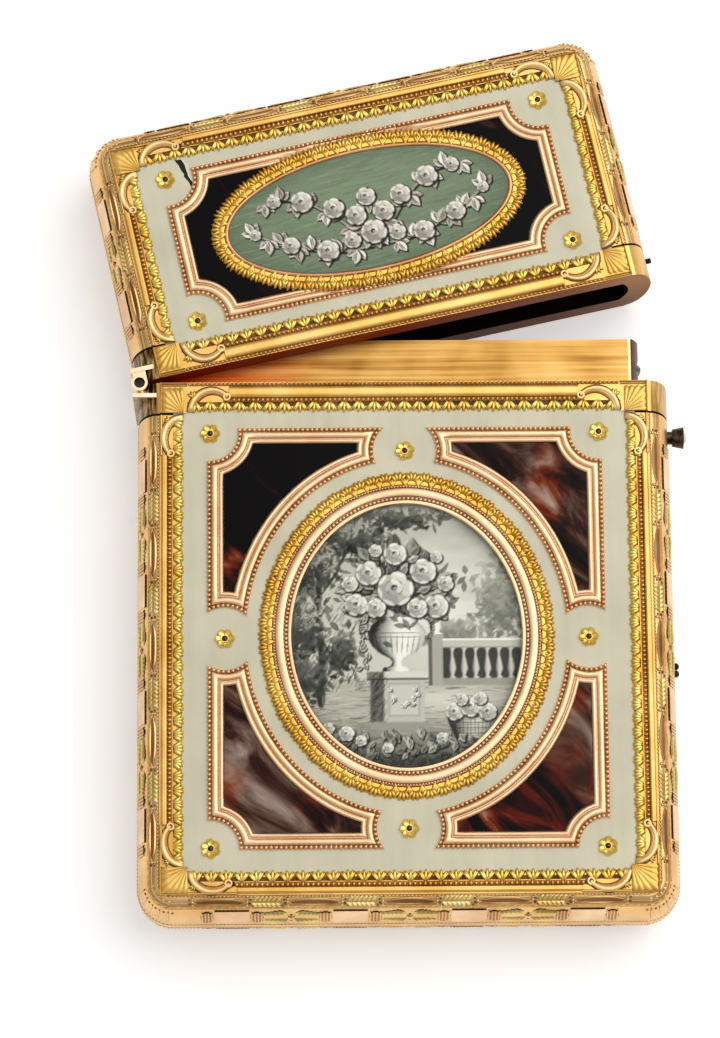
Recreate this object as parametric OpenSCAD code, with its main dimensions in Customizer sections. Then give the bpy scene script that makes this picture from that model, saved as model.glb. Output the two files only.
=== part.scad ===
// Aide memoire case: a flat hinged case with ivory panels in gold cage work.
// It lies on its back. X runs across the face, Y from the base to the lid, Z out of the front.
// The origin is on the rest plane, under the middle of the base's mouth rail.

/* [Case] */
// Width of the flat faces
face_w = 55; // [48:0.5:66]
// Height of the base's flat faces, from the mouth to the far edge
base_h = 58.2; // [52:0.1:70]
// Height of the lid's flat faces, from the mouth to the far edge
lid_h = 27.5; // [26:0.1:34]
// Thickness over the crests of the front and back frames
case_t = 13; // [12.6:0.1:16]
// How far the rounded sides stand out past the flat faces
side_bulge = 2.6; // [2.2:0.1:3.2]
// How far the centre of a rounded corner of the sides lies inside the face's corner
corner_in = 1.4; // [0.8:0.1:1.8]
// How far the rounded sides stay below the frames' crests
side_step = 0.4; // [0.2:0.05:0.6]
// Angle by which the lid stands open
lid_open = 12.4; // [0:0.1:40]
// Gap between the two mouths when the lid is shut
mouth_gap = 0.1; // [0.06:0.01:0.2]

/* [Walls] */
// Thickness of the rounded gold side sheet
band_t = 0.6; // [0.4:0.05:0.8]
// Thickness of the ivory panels
ivory_t = 0.9; // [0.7:0.05:1.1]
// Depth of the ivory below the frames' crests
ivory_recess = 0.45; // [0.4:0.01:0.6]
// Distance of the lining's rounded ends from the edges of the flat faces
lining_inset = 0.5; // [0.3:0.05:2]
// Outer thickness of the lining
lining_t = 6.1; // [5.6:0.1:6.6]
// How far the lining's ends are rounded out
lining_crown = 0.9; // [0.5:0.05:1.2]
// Sheet thickness of the lining
lining_wall = 0.35; // [0.25:0.05:0.4]
// Height of the flange above the base's mouth
flange_h = 5.7; // [4.6:0.1:6.2]
// Gap between the flange and the lid, front and back
flange_gap = 0.15; // [0.08:0.01:0.3]
// Gap between the flange and the lid at the ends
flange_end_gap = 0.45; // [0.42:0.01:0.6]
// Thickness of the carcass beyond the slot's blind ends
carcass_floor = 4.5; // [3:0.1:6]

/* [Frames] */
// Width of the rails on the sides and the far end
rail_w = 1.5; // [1.3:0.05:1.8]
// Width of the mouth rails
mouth_rail_w = 2.3; // [2:0.05:2.6]
// Width of the leaf-tip borders
border_w = 1.25; // [1:0.05:1.5]
// Thickness of the leaf-tip borders
border_t = 0.3; // [0.2:0.01:0.4]
// Spacing of the leaf tips on the straight borders
leaf_pitch = 1.36; // [1:0.02:2]
// Depth of the notches between leaf tips
leaf_notch = 0.28; // [0.1:0.01:0.4]
// Width of the two channels for the beads beside the crest of a mouth rail
bead_channel = 0.45; // [0.3:0.05:0.55]
// Width of the channel for the beads inside the crest of a side rail or far rail
side_channel = 0.6; // [0.4:0.05:0.7]
// Width of the lip outside the crest of a side rail or far rail
rail_lip = 0.15; // [0.1:0.05:0.3]
// Height of a rail's crest above its bead channels
crest_h = 0.3; // [0.2:0.02:0.4]
// Width of the flat along the top of a crest
crest_flat = 0.3; // [0.1:0.05:0.4]
// Dark seam between a collar and the cage below it
seam = 0.25; // [0.1:0.05:0.4]
// Side of the corner blocks that carry the fans
block_w = 3.1; // [2.8:0.1:3.6]
// Length of a scroll beside a corner block
scroll_l = 4.7; // [4:0.1:5.5]
// Height of the fans and scrolls above the bead channels
mount_t = 0.26; // [0.16:0.02:0.28]
// Width of a scroll's raised edge
scroll_w = 0.55; // [0.4:0.05:0.8]
// Depth of the lobes of the leaf inside a scroll
lobe_depth = 0.2; // [0.1:0.02:0.3]
// Depth of the notches between a fan's flutes
flute_depth = 0.3; // [0.1:0.05:0.5]
// Radius of the pin heads that fasten the frames
pin_head_r = 0.27; // [0.2:0.01:0.35]

/* [Base face] */
// Distance of the oval leaf border from the ivory's visible sides
oval_margin_x = 8.05; // [7:0.05:10]
// Distance of the oval leaf border from the ivory's visible ends
oval_margin_y = 7.1; // [6.6:0.05:9]
// Height of the oval's centre above the middle of the ivory
oval_up = 0.3; // [0:0.05:0.5]
// Width of the oval frame
oval_frame_w = 2.15; // [1.6:0.05:2.6]
// Height of the oval frame above the ivory
oval_frame_t = 0.43; // [0.3:0.01:0.44]
// Width of the oval leaf border
oval_leaf_w = 1.75; // [1.4:0.05:2.1]
// Number of leaves round the base's oval
oval_leaves = 70; // [40:1:80]
// Gap between the oval leaves and the spandrels
spandrel_gap = 1.2; // [0.6:0.05:1.6]
// Width of the moulded frames of spandrels and lid panel
moulding_w = 1.85; // [1.5:0.05:2.2]
// Height of those frames above the ivory
moulding_t = 0.4; // [0.3:0.02:0.44]
// Ivory left bare beside the spandrels
spandrel_margin_x = 2.55; // [2.2:0.05:3.2]
// Ivory left bare above the upper spandrels
spandrel_margin_top = 1.8; // [1.6:0.05:3]
// Ivory left bare below the lower spandrels
spandrel_margin_y = 2.25; // [1.8:0.05:3]
// Radius of the notch round a corner rosette
notch_r = 3.15; // [2.6:0.05:3.6]
// Radius of the bite round a middle rosette
bite_r = 3.55; // [3:0.05:3.8]
// Thickness of the tortoiseshell
shell_t = 0.15; // [0.1:0.01:0.2]
// Width of a rosette over its petals
rosette_d = 2.25; // [1.8:0.05:2.5]
// Radius of a rosette's petal
petal_r = 0.45; // [0.35:0.02:0.55]
// Radius of the hollow in a rosette's middle
rosette_eye_r = 0.3; // [0.2:0.02:0.4]
// Thickness of a rosette
rosette_t = 0.3; // [0.2:0.02:0.4]
// Distance of the corner rosettes from the ivory's visible side edges
rosette_inset_x = 2.9; // [2.5:0.05:3.2]
// Distance of the base's corner rosettes from the ivory's visible ends
rosette_inset_y = 2.4; // [2:0.05:2.8]
// Distance of the middle rosettes from the ivory's visible edges
middle_inset = 4.5; // [4.2:0.05:4.8]
// Thickness of a plaque
plaque_t = 0.25; // [0.15:0.01:0.3]
// Thickness of the cover glass
glass_t = 0.35; // [0.2:0.01:0.4]

/* [Lid face] */
// Distance of the lid's oval leaf border from the ivory's visible sides
lid_oval_margin_x = 6.15; // [5:0.05:8]
// Distance of the lid's oval leaf border from the ivory's visible ends
lid_oval_margin_y = 1.4; // [1.3:0.05:2.4]
// Width of the rim round the lid's plaque
lid_rim_w = 0.45; // [0.3:0.05:0.6]
// Width of the lid's oval leaf border
lid_leaf_w = 1.9; // [1.5:0.05:2.1]
// Number of leaves round the lid's oval
lid_leaves = 56; // [36:1:70]
// Ivory left bare beside the lid's panel
lid_margin_x = 2.35; // [2:0.05:3]
// Ivory left bare above and below the lid's panel
lid_margin_y = 1.25; // [0.9:0.05:1.3]
// Distance of the lid's corner rosettes from the ivory's visible ends
lid_rosette_inset = 2; // [1.6:0.05:2.4]

/* [Hinge] */
// Distance of the hinge axis from the edge of the flat faces
hinge_out = 2.3; // [2.2:0.05:2.6]
// Radius of the hinge barrel
barrel_r = 0.92; // [0.85:0.01:0.98]
// Clearance between the hinge barrel and the collars
barrel_clear = 0.12; // [0.1:0.01:0.2]
// Radius of the hinge pin
hinge_pin_r = 0.58; // [0.4:0.01:0.62]
// Radial running gap of the hinge pin
hinge_pin_gap = 0.04; // [0.02:0.005:0.08]
// How far the pin's ends lie inside the barrel
pin_recess = 0.7; // [0.2:0.1:1]
// Distance of the barrel's ends from the crests of the frames
barrel_inset = 0.3; // [0.2:0.05:0.8]
// Gap between two knuckles
knuckle_gap = 0.12; // [0.06:0.01:0.2]
// Thickness of the hinge leaves
hinge_leaf_t = 0.5; // [0.4:0.05:0.6]

/* [Catch] */
// Distance of the push-button from the base's mouth
button_down = 5.2; // [5.1:0.05:7]
// Radius of the button's collet
button_r = 1.25; // [1:0.05:1.3]
// How far the collet stands out from the side
button_out = 1.25; // [1:0.05:1.6]
// Travel of the button
button_travel = 0.6; // [0.4:0.05:0.7]
// Radius of the button's stem
stem_r = 0.75; // [0.6:0.05:0.85]
// Running gap of the stem and the tip
stem_gap = 0.07; // [0.04:0.01:0.1]
// Radius of the stem's tip, which pushes the spring
tip_r = 0.35; // [0.25:0.01:0.4]
// Thickness of the catch spring
spring_t = 0.3; // [0.2:0.02:0.32]
// Width of the catch spring
spring_w = 2.2; // [1.6:0.1:2.4]
// Distance from the button down to the spring's rivet
spring_arm = 12.8; // [10:0.1:16]
// Radius of the spring's rivet
rivet_r = 0.4; // [0.3:0.02:0.5]
// Radius of the lid's keeper pin
keeper_r = 0.33; // [0.25:0.01:0.4]
// Distance of the keeper pin from the lid's mouth
keeper_up = 2.9; // [2.4:0.05:3]
// How far the keeper pin stands out
keeper_out = 0.75; // [0.4:0.05:1]
// Radius of each half of the side stud
stud_r = 0.42; // [0.3:0.02:0.5]
// How far the side stud stands out
stud_out = 0.65; // [0.4:0.05:0.9]
// Distance of the side stud from the base's mouth
stud_down = 32.2; // [20:0.1:40]

/* [Contents] */
// Thickness of a memo leaf
leaf_t = 0.45; // [0.3:0.01:0.47]
// Gap between memo leaves, and between them and the lining
leaf_gap = 0.06; // [0.04:0.01:0.08]
// How far the memo leaves stand up out of the mouth
leaf_up = 4.4; // [2:0.1:5]
// Room at the lining's left end, for the pencil
pencil_room = 5.1; // [4:0.1:7]
// Room at the lining's right end, for the catch spring
spring_room = 2.4; // [2.2:0.1:4]
// Radius of the rivet that holds the memo leaves together
leaf_rivet_r = 0.8; // [0.5:0.05:1.2]
// Radius of the pencil's tube
pencil_r = 1.25; // [0.9:0.05:1.3]
// Gap between the pencil and the lining's back
pencil_gap = 0.1; // [0.05:0.01:0.2]

/* [Hidden] */
$fn = 64;
side_steps = 20;
oval_steps = 72;
leaf_steps = 4;
crest_steps = 5;
eps = 0.02;

half_w = face_w / 2;
crest_z = case_t / 2;
ivory_z = crest_z - ivory_recess;
carcass_z = ivory_z - ivory_t;
bead_z = crest_z - crest_h;
side_z = crest_z - side_step;
side_x = half_w + side_bulge;
collar_h = mouth_rail_w + border_w;
frame_top = collar_h + seam;
arm_end = block_w + scroll_l;
crest_start = arm_end + 3 * pin_head_r;

view_w = half_w - rail_w - border_w;
base_view = (base_h - rail_w - border_w - collar_h) / 2;
lid_view = (lid_h - rail_w - border_w - collar_h) / 2;
base_mid = collar_h + base_view;
lid_mid = collar_h + lid_view;

leaf_a = view_w - oval_margin_x;
leaf_b = base_view - oval_margin_y;
ring_a = leaf_a - oval_leaf_w;
ring_b = leaf_b - oval_leaf_w;
oval_a = ring_a - oval_frame_w;
oval_b = ring_b - oval_frame_w;
aperture_lap = 0.5;
ring_crest_in = 0.75;
ring_crest_out = 0.4;
moulding_crest_in = 0.45;
moulding_crest_out = 0.5;
low_share = 0.65;

lid_leaf_a = view_w - lid_oval_margin_x;
lid_leaf_b = lid_view - lid_oval_margin_y;
lid_ring_a = lid_leaf_a - lid_leaf_w;
lid_ring_b = lid_leaf_b - lid_leaf_w;
lid_oval_a = lid_ring_a - lid_rim_w;
lid_oval_b = lid_ring_b - lid_rim_w;

lining_w = face_w - 2 * lining_inset;
lid_slot_w = lining_w + 2 * flange_end_gap;
lid_slot_t = lining_t + 2 * flange_gap;
base_slot_w = lining_w + 2 * eps;
base_slot_t = lining_t + 2 * eps;
lining_in_t = lining_t - 2 * lining_wall;
lining_end_x = lining_w / 2 - lining_wall;
slot_floor = base_h - carcass_floor;

hinge_x = -half_w - hinge_out;
hinge_y = mouth_gap / 2;
barrel_l = case_t - 2 * barrel_inset;
hinge_leaf_y = barrel_r + 0.34;
hinge_leaf_in = hinge_out - 0.35;
hinge_leaf_out = 0.75;
web_out = 0.55;
knuckles = 5;
knuckle_l = barrel_l / knuckles;

spring_back = 0.35;
spring_x = lining_end_x - spring_back - spring_t;
rivet_y = -button_down - spring_arm;
rivet_play = 0.06;
nose_y = 2.5;
nose_h = 1.2;
nose_out = 0.2;
nose_play = 0.25;
spring_tip = spring_back + spring_t + lining_wall + nose_out;
button_push_gap = 0.03;
collet_wall = 0.25;
stone_seat = 0.3;
stone_t = 0.35;

leaf_left = -lining_end_x + pencil_room;
leaf_right = lining_end_x - spring_room;
leaf_foot = -slot_floor + 2 * lining_wall;
leaves_z = -lining_in_t / 2 + leaf_gap;
leaf_count = 2;
leaf_corner = 1.5;
leaf_hole = [leaf_left + 3, leaf_foot + 3];

// Frames of reference. Each half is drawn with its mouth at y = 0 and its far end towards -Y.

module part_frame() { translate([0, mouth_rail_w / 2, crest_z]) children(); }

module base_half() { part_frame() children(); }

module lid_half() {
  part_frame() translate([hinge_x, hinge_y, 0]) rotate(lid_open) translate([-hinge_x, -hinge_y, 0])
    translate([0, mouth_gap, 0]) mirror([0, 1, 0]) children();
}

module back() { mirror([0, 0, 1]) children(); }

module both_faces() { children(); back() children(); }

module both_sides() { children(); mirror([1, 0, 0]) children(); }

// Extrudes an outline in X and Z along Y, from y_top down by len.
module along_y(y_top, len) { translate([0, y_top, 0]) rotate([90, 0, 0]) linear_extrude(len) children(); }

// Outlines

function ellipse(a, b, n) = [for (i = [0:n - 1]) [a * cos(360 * i / n), b * sin(360 * i / n)]];

function half_ellipse(a, b, n) = [for (i = [0:n]) [a * cos(180 * i / n - 90), b * sin(180 * i / n - 90)]];

// An oval whose edge is notched into leaf tips.
function leafy_oval(a, b, leaves, notch) = [
  for (i = [0:leaves * leaf_steps - 1])
    let (cut = notch * (1 - abs(sin(180 * i / leaf_steps))), t = 360 * i / (leaves * leaf_steps))
      [(a - cut) * cos(t), (b - cut) * sin(t)]
];

module oval(a, b) { polygon(ellipse(a, b, oval_steps)); }

module oval_ring(a, b, w) {
  difference() {
    oval(a + w, b + w);
    oval(a, b);
  }
}

module side_profile(out, z) { polygon(half_ellipse(out, z, side_steps)); }

module slot_outline(w, t) {
  r = (t * t / 4 + lining_crown * lining_crown) / (2 * lining_crown);
  square([w - 2 * lining_crown, t], center = true);
  both_sides() intersection() {
    translate([w / 2 - r, 0]) circle(r);
    translate([w / 2 - lining_crown, -t / 2]) square([lining_crown, t]);
  }
}

// Carries a side profile round the two sides, the far end and its two corners.
module round_sides(h, y_top) {
  both_sides() {
    translate([half_w, 0, 0]) along_y(-y_top, h - y_top - corner_in) children();
    translate([half_w - corner_in, -h + corner_in, 0]) rotate(-90) rotate_extrude(angle = 90)
      translate([corner_in, 0]) children();
  }
  translate([half_w - corner_in, -h, 0]) rotate(-90) along_y(0, face_w - 2 * corner_in) children();
}

// Sub-parts that both halves share, drawn for a half of height h

module carcass(h, slot_w, slot_t) {
  difference() {
    union() {
      translate([-half_w, -h, -carcass_z]) cube([face_w, h - collar_h, 2 * carcass_z]);
      round_sides(h, collar_h) side_profile(side_bulge - band_t, carcass_z);
    }
    along_y(0, h - carcass_floor) slot_outline(slot_w, slot_t);
  }
}

module side_band(h) {
  difference() {
    round_sides(h, frame_top) difference() {
      side_profile(side_bulge, side_z);
      side_profile(side_bulge - band_t, carcass_z);
    }
    translate([-half_w, -h, -case_t]) cube([face_w, h, 2 * case_t]);
  }
}

// A crest of width w standing on the bead channels, rounded down both sides from a narrow flat.
module crest(w) {
  round_w = (w - crest_flat) / 2;
  side = [for (i = [0:crest_steps]) [round_w * (1 - cos(90 * i / crest_steps)),
                                     crest_h * sin(90 * i / crest_steps)]];
  far_side = [for (i = [crest_steps:-1:0]) [w - side[i][0], side[i][1]]];
  polygon(concat(side, far_side));
}

module crest_bar(len, w) {
  translate([-len / 2, 0, bead_z]) rotate([90, 0, 90]) linear_extrude(len) crest(w);
}

module collar(slot_w, slot_t) {
  difference() {
    union() {
      along_y(0, collar_h) {
        square([face_w, 2 * carcass_z], center = true);
        both_sides() translate([half_w, 0]) side_profile(side_bulge, side_z);
      }
      both_faces() {
        translate([-half_w, -mouth_rail_w, carcass_z]) cube([face_w, mouth_rail_w, bead_z - carcass_z]);
        both_sides() translate([half_w - rail_w, -collar_h, carcass_z])
          cube([rail_w, collar_h, bead_z - carcass_z]);
        translate([0, -mouth_rail_w + bead_channel, 0])
          crest_bar(face_w - 2 * arm_end - 2 * eps, mouth_rail_w - 2 * bead_channel);
      }
    }
    along_y(eps, collar_h + 2 * eps) slot_outline(slot_w, slot_t);
    hinge_room();
  }
}

// Space cut out of a collar for the hinge barrel and the hinge leaf.
module hinge_room() {
  depth = hinge_leaf_y + hinge_leaf_t - hinge_y;
  out = side_bulge + hinge_leaf_out;
  translate([hinge_x - out, -depth, -crest_z]) {
    cube([out + barrel_r + barrel_clear, 2 * depth, 2 * crest_z]);
    cube([out + hinge_leaf_in, hinge_leaf_t + eps, 2 * crest_z]);
  }
}

module frame(h) {
  side_l = h - frame_top;
  translate([0, 0, carcass_z]) linear_extrude(bead_z - carcass_z) difference() {
    translate([-half_w, -h]) square([face_w, side_l]);
    translate([-half_w + rail_w, -h + rail_w]) square([face_w - 2 * rail_w, side_l]);
  }
  crest_w = rail_w - side_channel - rail_lip;
  translate([0, -h + rail_lip, 0]) crest_bar(face_w - 2 * crest_start, crest_w);
  run = side_l - arm_end - scroll_l - 2 * eps;
  middle = -h + arm_end + eps + run / 2;
  both_sides() translate([half_w - rail_lip, middle, 0]) rotate(90) crest_bar(run, crest_w);
}

// A strip with leaf tips along its inner edge, centred on x = 0.
module leaf_strip(len) {
  tips = round(len / leaf_pitch);
  steps = tips * leaf_steps;
  tip_edge = [
    for (i = [0:steps])
      [len * (i / steps - 0.5), -border_w + leaf_notch * (1 - abs(sin(180 * i / leaf_steps)))]
  ];
  translate([0, 0, ivory_z]) linear_extrude(border_t)
    polygon(concat(tip_edge, [[len / 2, -eps], [-len / 2, -eps]]));
}

module leaf_border(h) {
  across = face_w - 2 * arm_end - 2 * eps;
  translate([0, -mouth_rail_w, 0]) leaf_strip(across);
  translate([0, -h + rail_w, 0]) rotate(180) leaf_strip(across);
  top = -frame_top - scroll_l;
  bottom = -h + arm_end;
  both_sides() translate([half_w - rail_w, (top + bottom) / 2, 0]) rotate(-90)
    leaf_strip(top - bottom - 2 * eps);
}

// A shell whose flutes fan out from the inner corner at the origin, within a block of side s.
module fan(s) {
  flutes = 5;
  steps = flutes * leaf_steps;
  polygon(concat([[0, 0]], [
    for (i = [0:steps])
      let (t = 90 * i / steps, r = s - flute_depth * (1 - abs(sin(180 * i / leaf_steps))))
        r * [cos(t), sin(t)]
  ]));
}

// Half oval of length scroll_l and height w with its flat edge on y = 0, drawn in by inset and cut
// into lobes.
module half_oval(w, inset, lobes = 0) {
  a = scroll_l / 2 - inset;
  b = w - inset;
  steps = 20;
  polygon([
    for (i = [0:steps])
      let (t = 180 * i / steps, cut = lobe_depth * abs(sin(t * lobes)))
        [scroll_l / 2 + (a - cut) * cos(t), (b - cut) * sin(t)]
  ]);
}

// A C scroll round an acanthus leaf, open towards the ivory. It lies along +X with the ivory at y = 0.
module scroll(w) {
  translate([0, 0, bead_z]) {
    linear_extrude(mount_t * low_share / 2) half_oval(w, eps);
    linear_extrude(mount_t) difference() {
      half_oval(w, eps);
      half_oval(w, scroll_w);
    }
    linear_extrude(mount_t * low_share) half_oval(w, scroll_w + lobe_depth, 5);
  }
}

// What carries a scroll's inner edge on the ivory, over a bare width of the border.
module scroll_foot(w) {
  translate([0, 0, ivory_z]) linear_extrude(bead_z - ivory_z) intersection() {
    half_oval(w, eps);
    square([scroll_l, border_w - eps]);
  }
}

module fan_block() {
  translate([0, 0, bead_z]) linear_extrude(mount_t * low_share / 2) square(block_w - eps);
  translate([0, 0, bead_z]) linear_extrude(mount_t) fan(block_w - eps);
}

// Mounts of one face: far corners, ends of the side rails at the seam, and the collar's corners.
module corner_mounts(h) {
  inner_x = half_w - rail_w - border_w;
  far_y = -h + rail_w + border_w;
  arm_w = rail_w + border_w - eps;
  both_sides() {
    translate([half_w - block_w, -h + block_w, 0]) mirror([0, 1, 0]) fan_block();
    translate([half_w - arm_end, far_y, 0]) mirror([0, 1, 0]) {
      scroll(arm_w);
      scroll_foot(arm_w);
    }
    translate([inner_x, -h + block_w, 0]) mirror([1, -1, 0]) {
      scroll(arm_w);
      scroll_foot(arm_w);
    }
    translate([inner_x, -frame_top - scroll_l, 0]) mirror([1, -1, 0]) {
      scroll(arm_w);
      scroll_foot(arm_w);
    }
    translate([half_w - block_w, -block_w, 0]) fan_block();
    translate([half_w - arm_end, -collar_h, 0]) {
      scroll(collar_h - eps);
      scroll_foot(collar_h - eps);
    }
  }
}

module ivory_plate(h) {
  w = face_w - 2 * rail_w - 2 * eps;
  translate([-w / 2, -h + rail_w + eps, carcass_z]) cube([w, h - rail_w - mouth_rail_w - 2 * eps, ivory_t]);
}

module rosette() {
  petals = 6;
  reach = rosette_d / 2 - petal_r;
  translate([0, 0, ivory_z]) difference() {
    linear_extrude(rosette_t) {
      circle(reach);
      for (i = [0:petals - 1]) rotate(360 * i / petals) translate([reach, 0]) circle(petal_r);
    }
    translate([0, 0, rosette_t / 2]) cylinder(r = rosette_eye_r, h = rosette_t);
  }
}

// Pin heads beside the scrolls of the far rail.
module pin_heads(h) {
  both_sides() translate([half_w - arm_end - pin_head_r - eps, -h + rail_w - side_channel / 2, bead_z])
    cylinder(r = pin_head_r, h = crest_h / 2);
}

// The two levels of a moulded frame: a low ring of full width and a narrower crest on it.
module moulded_ring() {
  translate([0, 0, ivory_z]) {
    linear_extrude(moulding_t * low_share) difference() {
      children(0);
      children(1);
    }
    linear_extrude(moulding_t) difference() {
      children(2);
      children(3);
    }
  }
}

// One spandrel in the upper left quarter of the base's face, drawn in by inset on all sides. Its margin
// and the oval's height above the middle are those of an upper or of a lower spandrel.
module spandrel_area(inset, margin, oval_y) {
  x = view_w - spandrel_margin_x - inset;
  y = base_view - margin - inset;
  clear = spandrel_gap + inset;
  difference() {
    translate([-x, 0]) square([x, y]);
    translate([0, oval_y]) oval(leaf_a + clear, leaf_b + clear);
    translate([-view_w + rosette_inset_x, base_view - rosette_inset_y]) circle(notch_r + inset);
    translate([0, base_view - middle_inset]) circle(bite_r + inset);
    translate([-view_w + middle_inset, 0]) circle(bite_r + inset);
  }
}

module on_base_centre() { translate([0, -base_mid, 0]) children(); }

module on_oval_centre() { translate([0, -base_mid + oval_up, 0]) children(); }

module on_lid_centre() { translate([0, -lid_mid, 0]) children(); }

module quarters() {
  for (x = [0, 1], y = [0, 1]) mirror([x, 0, 0]) mirror([0, y, 0]) children();
}

module spandrel_frame(margin, oval_y) {
  both_sides() moulded_ring() {
    spandrel_area(0, margin, oval_y);
    spandrel_area(moulding_w, margin, oval_y);
    spandrel_area(moulding_crest_out, margin, oval_y);
    spandrel_area(moulding_w - moulding_crest_in, margin, oval_y);
  }
}

module spandrel_frames() {
  on_base_centre() {
    spandrel_frame(spandrel_margin_top, oval_up);
    mirror([0, 1, 0]) spandrel_frame(spandrel_margin_y, -oval_up);
  }
}

module spandrel_shell(margin, oval_y) {
  both_sides() translate([0, 0, ivory_z]) linear_extrude(shell_t)
    spandrel_area(moulding_w + eps, margin, oval_y);
}

module spandrel_shells() {
  on_base_centre() {
    spandrel_shell(spandrel_margin_top, oval_up);
    mirror([0, 1, 0]) spandrel_shell(spandrel_margin_y, -oval_up);
  }
}

module base_oval_leaves() {
  on_oval_centre() translate([0, 0, ivory_z]) linear_extrude(border_t) difference() {
    polygon(leafy_oval(leaf_a, leaf_b, oval_leaves, leaf_notch));
    oval(ring_a + eps, ring_b + eps);
  }
}

module base_oval_frame() {
  crest_w = oval_frame_w - ring_crest_in - ring_crest_out;
  on_oval_centre() translate([0, 0, ivory_z]) {
    linear_extrude(oval_frame_t * low_share) oval_ring(oval_a, oval_b, oval_frame_w);
    linear_extrude(oval_frame_t) oval_ring(oval_a + ring_crest_in, oval_b + ring_crest_in, crest_w);
  }
}

module base_ivory() {
  difference() {
    ivory_plate(base_h);
    on_oval_centre() translate([0, 0, carcass_z - 1]) linear_extrude(case_t)
      oval(oval_a + aperture_lap, oval_b + aperture_lap);
  }
}

module base_plaque() {
  on_oval_centre() translate([0, 0, carcass_z]) linear_extrude(plaque_t)
    oval(oval_a + aperture_lap - eps, oval_b + aperture_lap - eps);
}

module base_glass() {
  on_oval_centre() translate([0, 0, ivory_z - glass_t - eps]) linear_extrude(glass_t)
    oval(oval_a + aperture_lap - eps, oval_b + aperture_lap - eps);
}

module base_face_rosettes() {
  on_base_centre() {
    quarters() translate([view_w - rosette_inset_x, base_view - rosette_inset_y, 0]) rosette();
    for (side = [-1, 1]) {
      translate([side * (view_w - middle_inset), 0, 0]) rosette();
      translate([0, side * (base_view - middle_inset), 0]) rosette();
    }
  }
}

module lid_panel_area(inset) {
  x = view_w - lid_margin_x - inset;
  y = lid_view - lid_margin_y - inset;
  difference() {
    square([2 * x, 2 * y], center = true);
    for (sx = [-1, 1], sy = [-1, 1])
      translate([sx * (view_w - rosette_inset_x), sy * (lid_view - lid_rosette_inset)])
        circle(notch_r + inset);
  }
}

module lid_panel_frame() {
  on_lid_centre() {
    translate([0, 0, ivory_z]) linear_extrude(shell_t) difference() {
      lid_panel_area(0);
      lid_panel_area(moulding_w);
    }
    difference() {
      moulded_ring() {
        lid_panel_area(0);
        lid_panel_area(moulding_w);
        lid_panel_area(moulding_crest_out);
        lid_panel_area(moulding_w - moulding_crest_in);
      }
      translate([0, 0, ivory_z + shell_t]) linear_extrude(1) oval(lid_leaf_a + eps, lid_leaf_b + eps);
    }
  }
}

module lid_panel_shell() {
  on_lid_centre() translate([0, 0, ivory_z]) linear_extrude(shell_t) lid_panel_area(moulding_w + eps);
}

module lid_oval_leaves() {
  on_lid_centre() translate([0, 0, ivory_z + shell_t]) linear_extrude(border_t - eps) difference() {
    polygon(leafy_oval(lid_leaf_a, lid_leaf_b, lid_leaves, leaf_notch));
    oval(lid_ring_a + eps, lid_ring_b + eps);
  }
}

module lid_oval_rim() {
  on_lid_centre() translate([0, 0, ivory_z + shell_t]) linear_extrude(border_t)
    oval_ring(lid_oval_a, lid_oval_b, lid_rim_w);
}

module lid_plaque() {
  on_lid_centre() translate([0, 0, ivory_z + shell_t]) linear_extrude(border_t / 3)
    oval(lid_oval_a - eps, lid_oval_b - eps);
}

module lid_face_rosettes() {
  on_lid_centre() quarters()
    translate([view_w - rosette_inset_x, lid_view - lid_rosette_inset, 0]) rosette();
}

// Hinge. Knuckle 0 is at the front; the lid holds the even ones and the base the odd ones.

module knuckle(i) {
  top = barrel_l / 2 - i * knuckle_l;
  low = top - knuckle_l;
  gap = knuckle_gap / 2;
  translate([0, 0, low + gap]) cylinder(r = barrel_r, h = knuckle_l - 2 * gap);
  translate([-web_out, -hinge_leaf_y - eps, low + gap])
    cube([barrel_r + web_out, hinge_leaf_y + eps, knuckle_l - 2 * gap]);
}

// A hinge leaf below the axis, with its knuckles; the axis is the Z axis.
module hinge_leaf(first) {
  difference() {
    union() {
      translate([-hinge_leaf_out, -hinge_leaf_y - hinge_leaf_t, -barrel_l / 2])
        cube([hinge_leaf_out + hinge_leaf_in - eps, hinge_leaf_t, barrel_l]);
      for (i = [first:2:knuckles - 1]) knuckle(i);
    }
    translate([0, 0, -barrel_l]) cylinder(r = hinge_pin_r + hinge_pin_gap, h = 2 * barrel_l);
  }
}

// Nodes of the base

module base_carcass() {
  color("saddlebrown") base_half() difference() {
    carcass(base_h, base_slot_w, base_slot_t);
    translate([0, -button_down, 0]) rotate([0, 90, 0]) cylinder(r = stem_r + stem_gap, h = face_w);
  }
}

module base_lining() {
  depth = slot_floor + flange_h;
  color("goldenrod") base_half() difference() {
    along_y(flange_h, depth) slot_outline(lining_w, lining_t);
    along_y(flange_h + 1, depth + 1 - lining_wall)
      slot_outline(lining_w - 2 * lining_wall, lining_in_t);
    translate([0, nose_y - nose_play, -spring_w / 2 - nose_play])
      cube([face_w, nose_h + 2 * nose_play, spring_w + 2 * nose_play]);
    translate([0, -button_down, 0]) rotate([0, 90, 0]) cylinder(r = tip_r + stem_gap, h = face_w);
  }
}

module base_side_band() {
  color("darkgoldenrod") base_half() difference() {
    side_band(base_h);
    translate([0, -button_down, 0]) rotate([0, 90, 0]) cylinder(r = stem_r + stem_gap, h = face_w);
  }
}

module base_collar() { color("gold") base_half() collar(base_slot_w, base_slot_t); }

module base_front_frame() { color("rosybrown") base_half() frame(base_h); }

module base_back_frame() { color("rosybrown") base_half() back() frame(base_h); }

module base_front_leaf_border() { color("gold") base_half() leaf_border(base_h); }

module base_back_leaf_border() { color("gold") base_half() back() leaf_border(base_h); }

module base_front_corner_mounts() { color("gold") base_half() corner_mounts(base_h); }

module base_back_corner_mounts() { color("gold") base_half() back() corner_mounts(base_h); }

module base_front_ivory() { color("ivory") base_half() base_ivory(); }

module base_back_ivory() { color("ivory") base_half() back() base_ivory(); }

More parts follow.
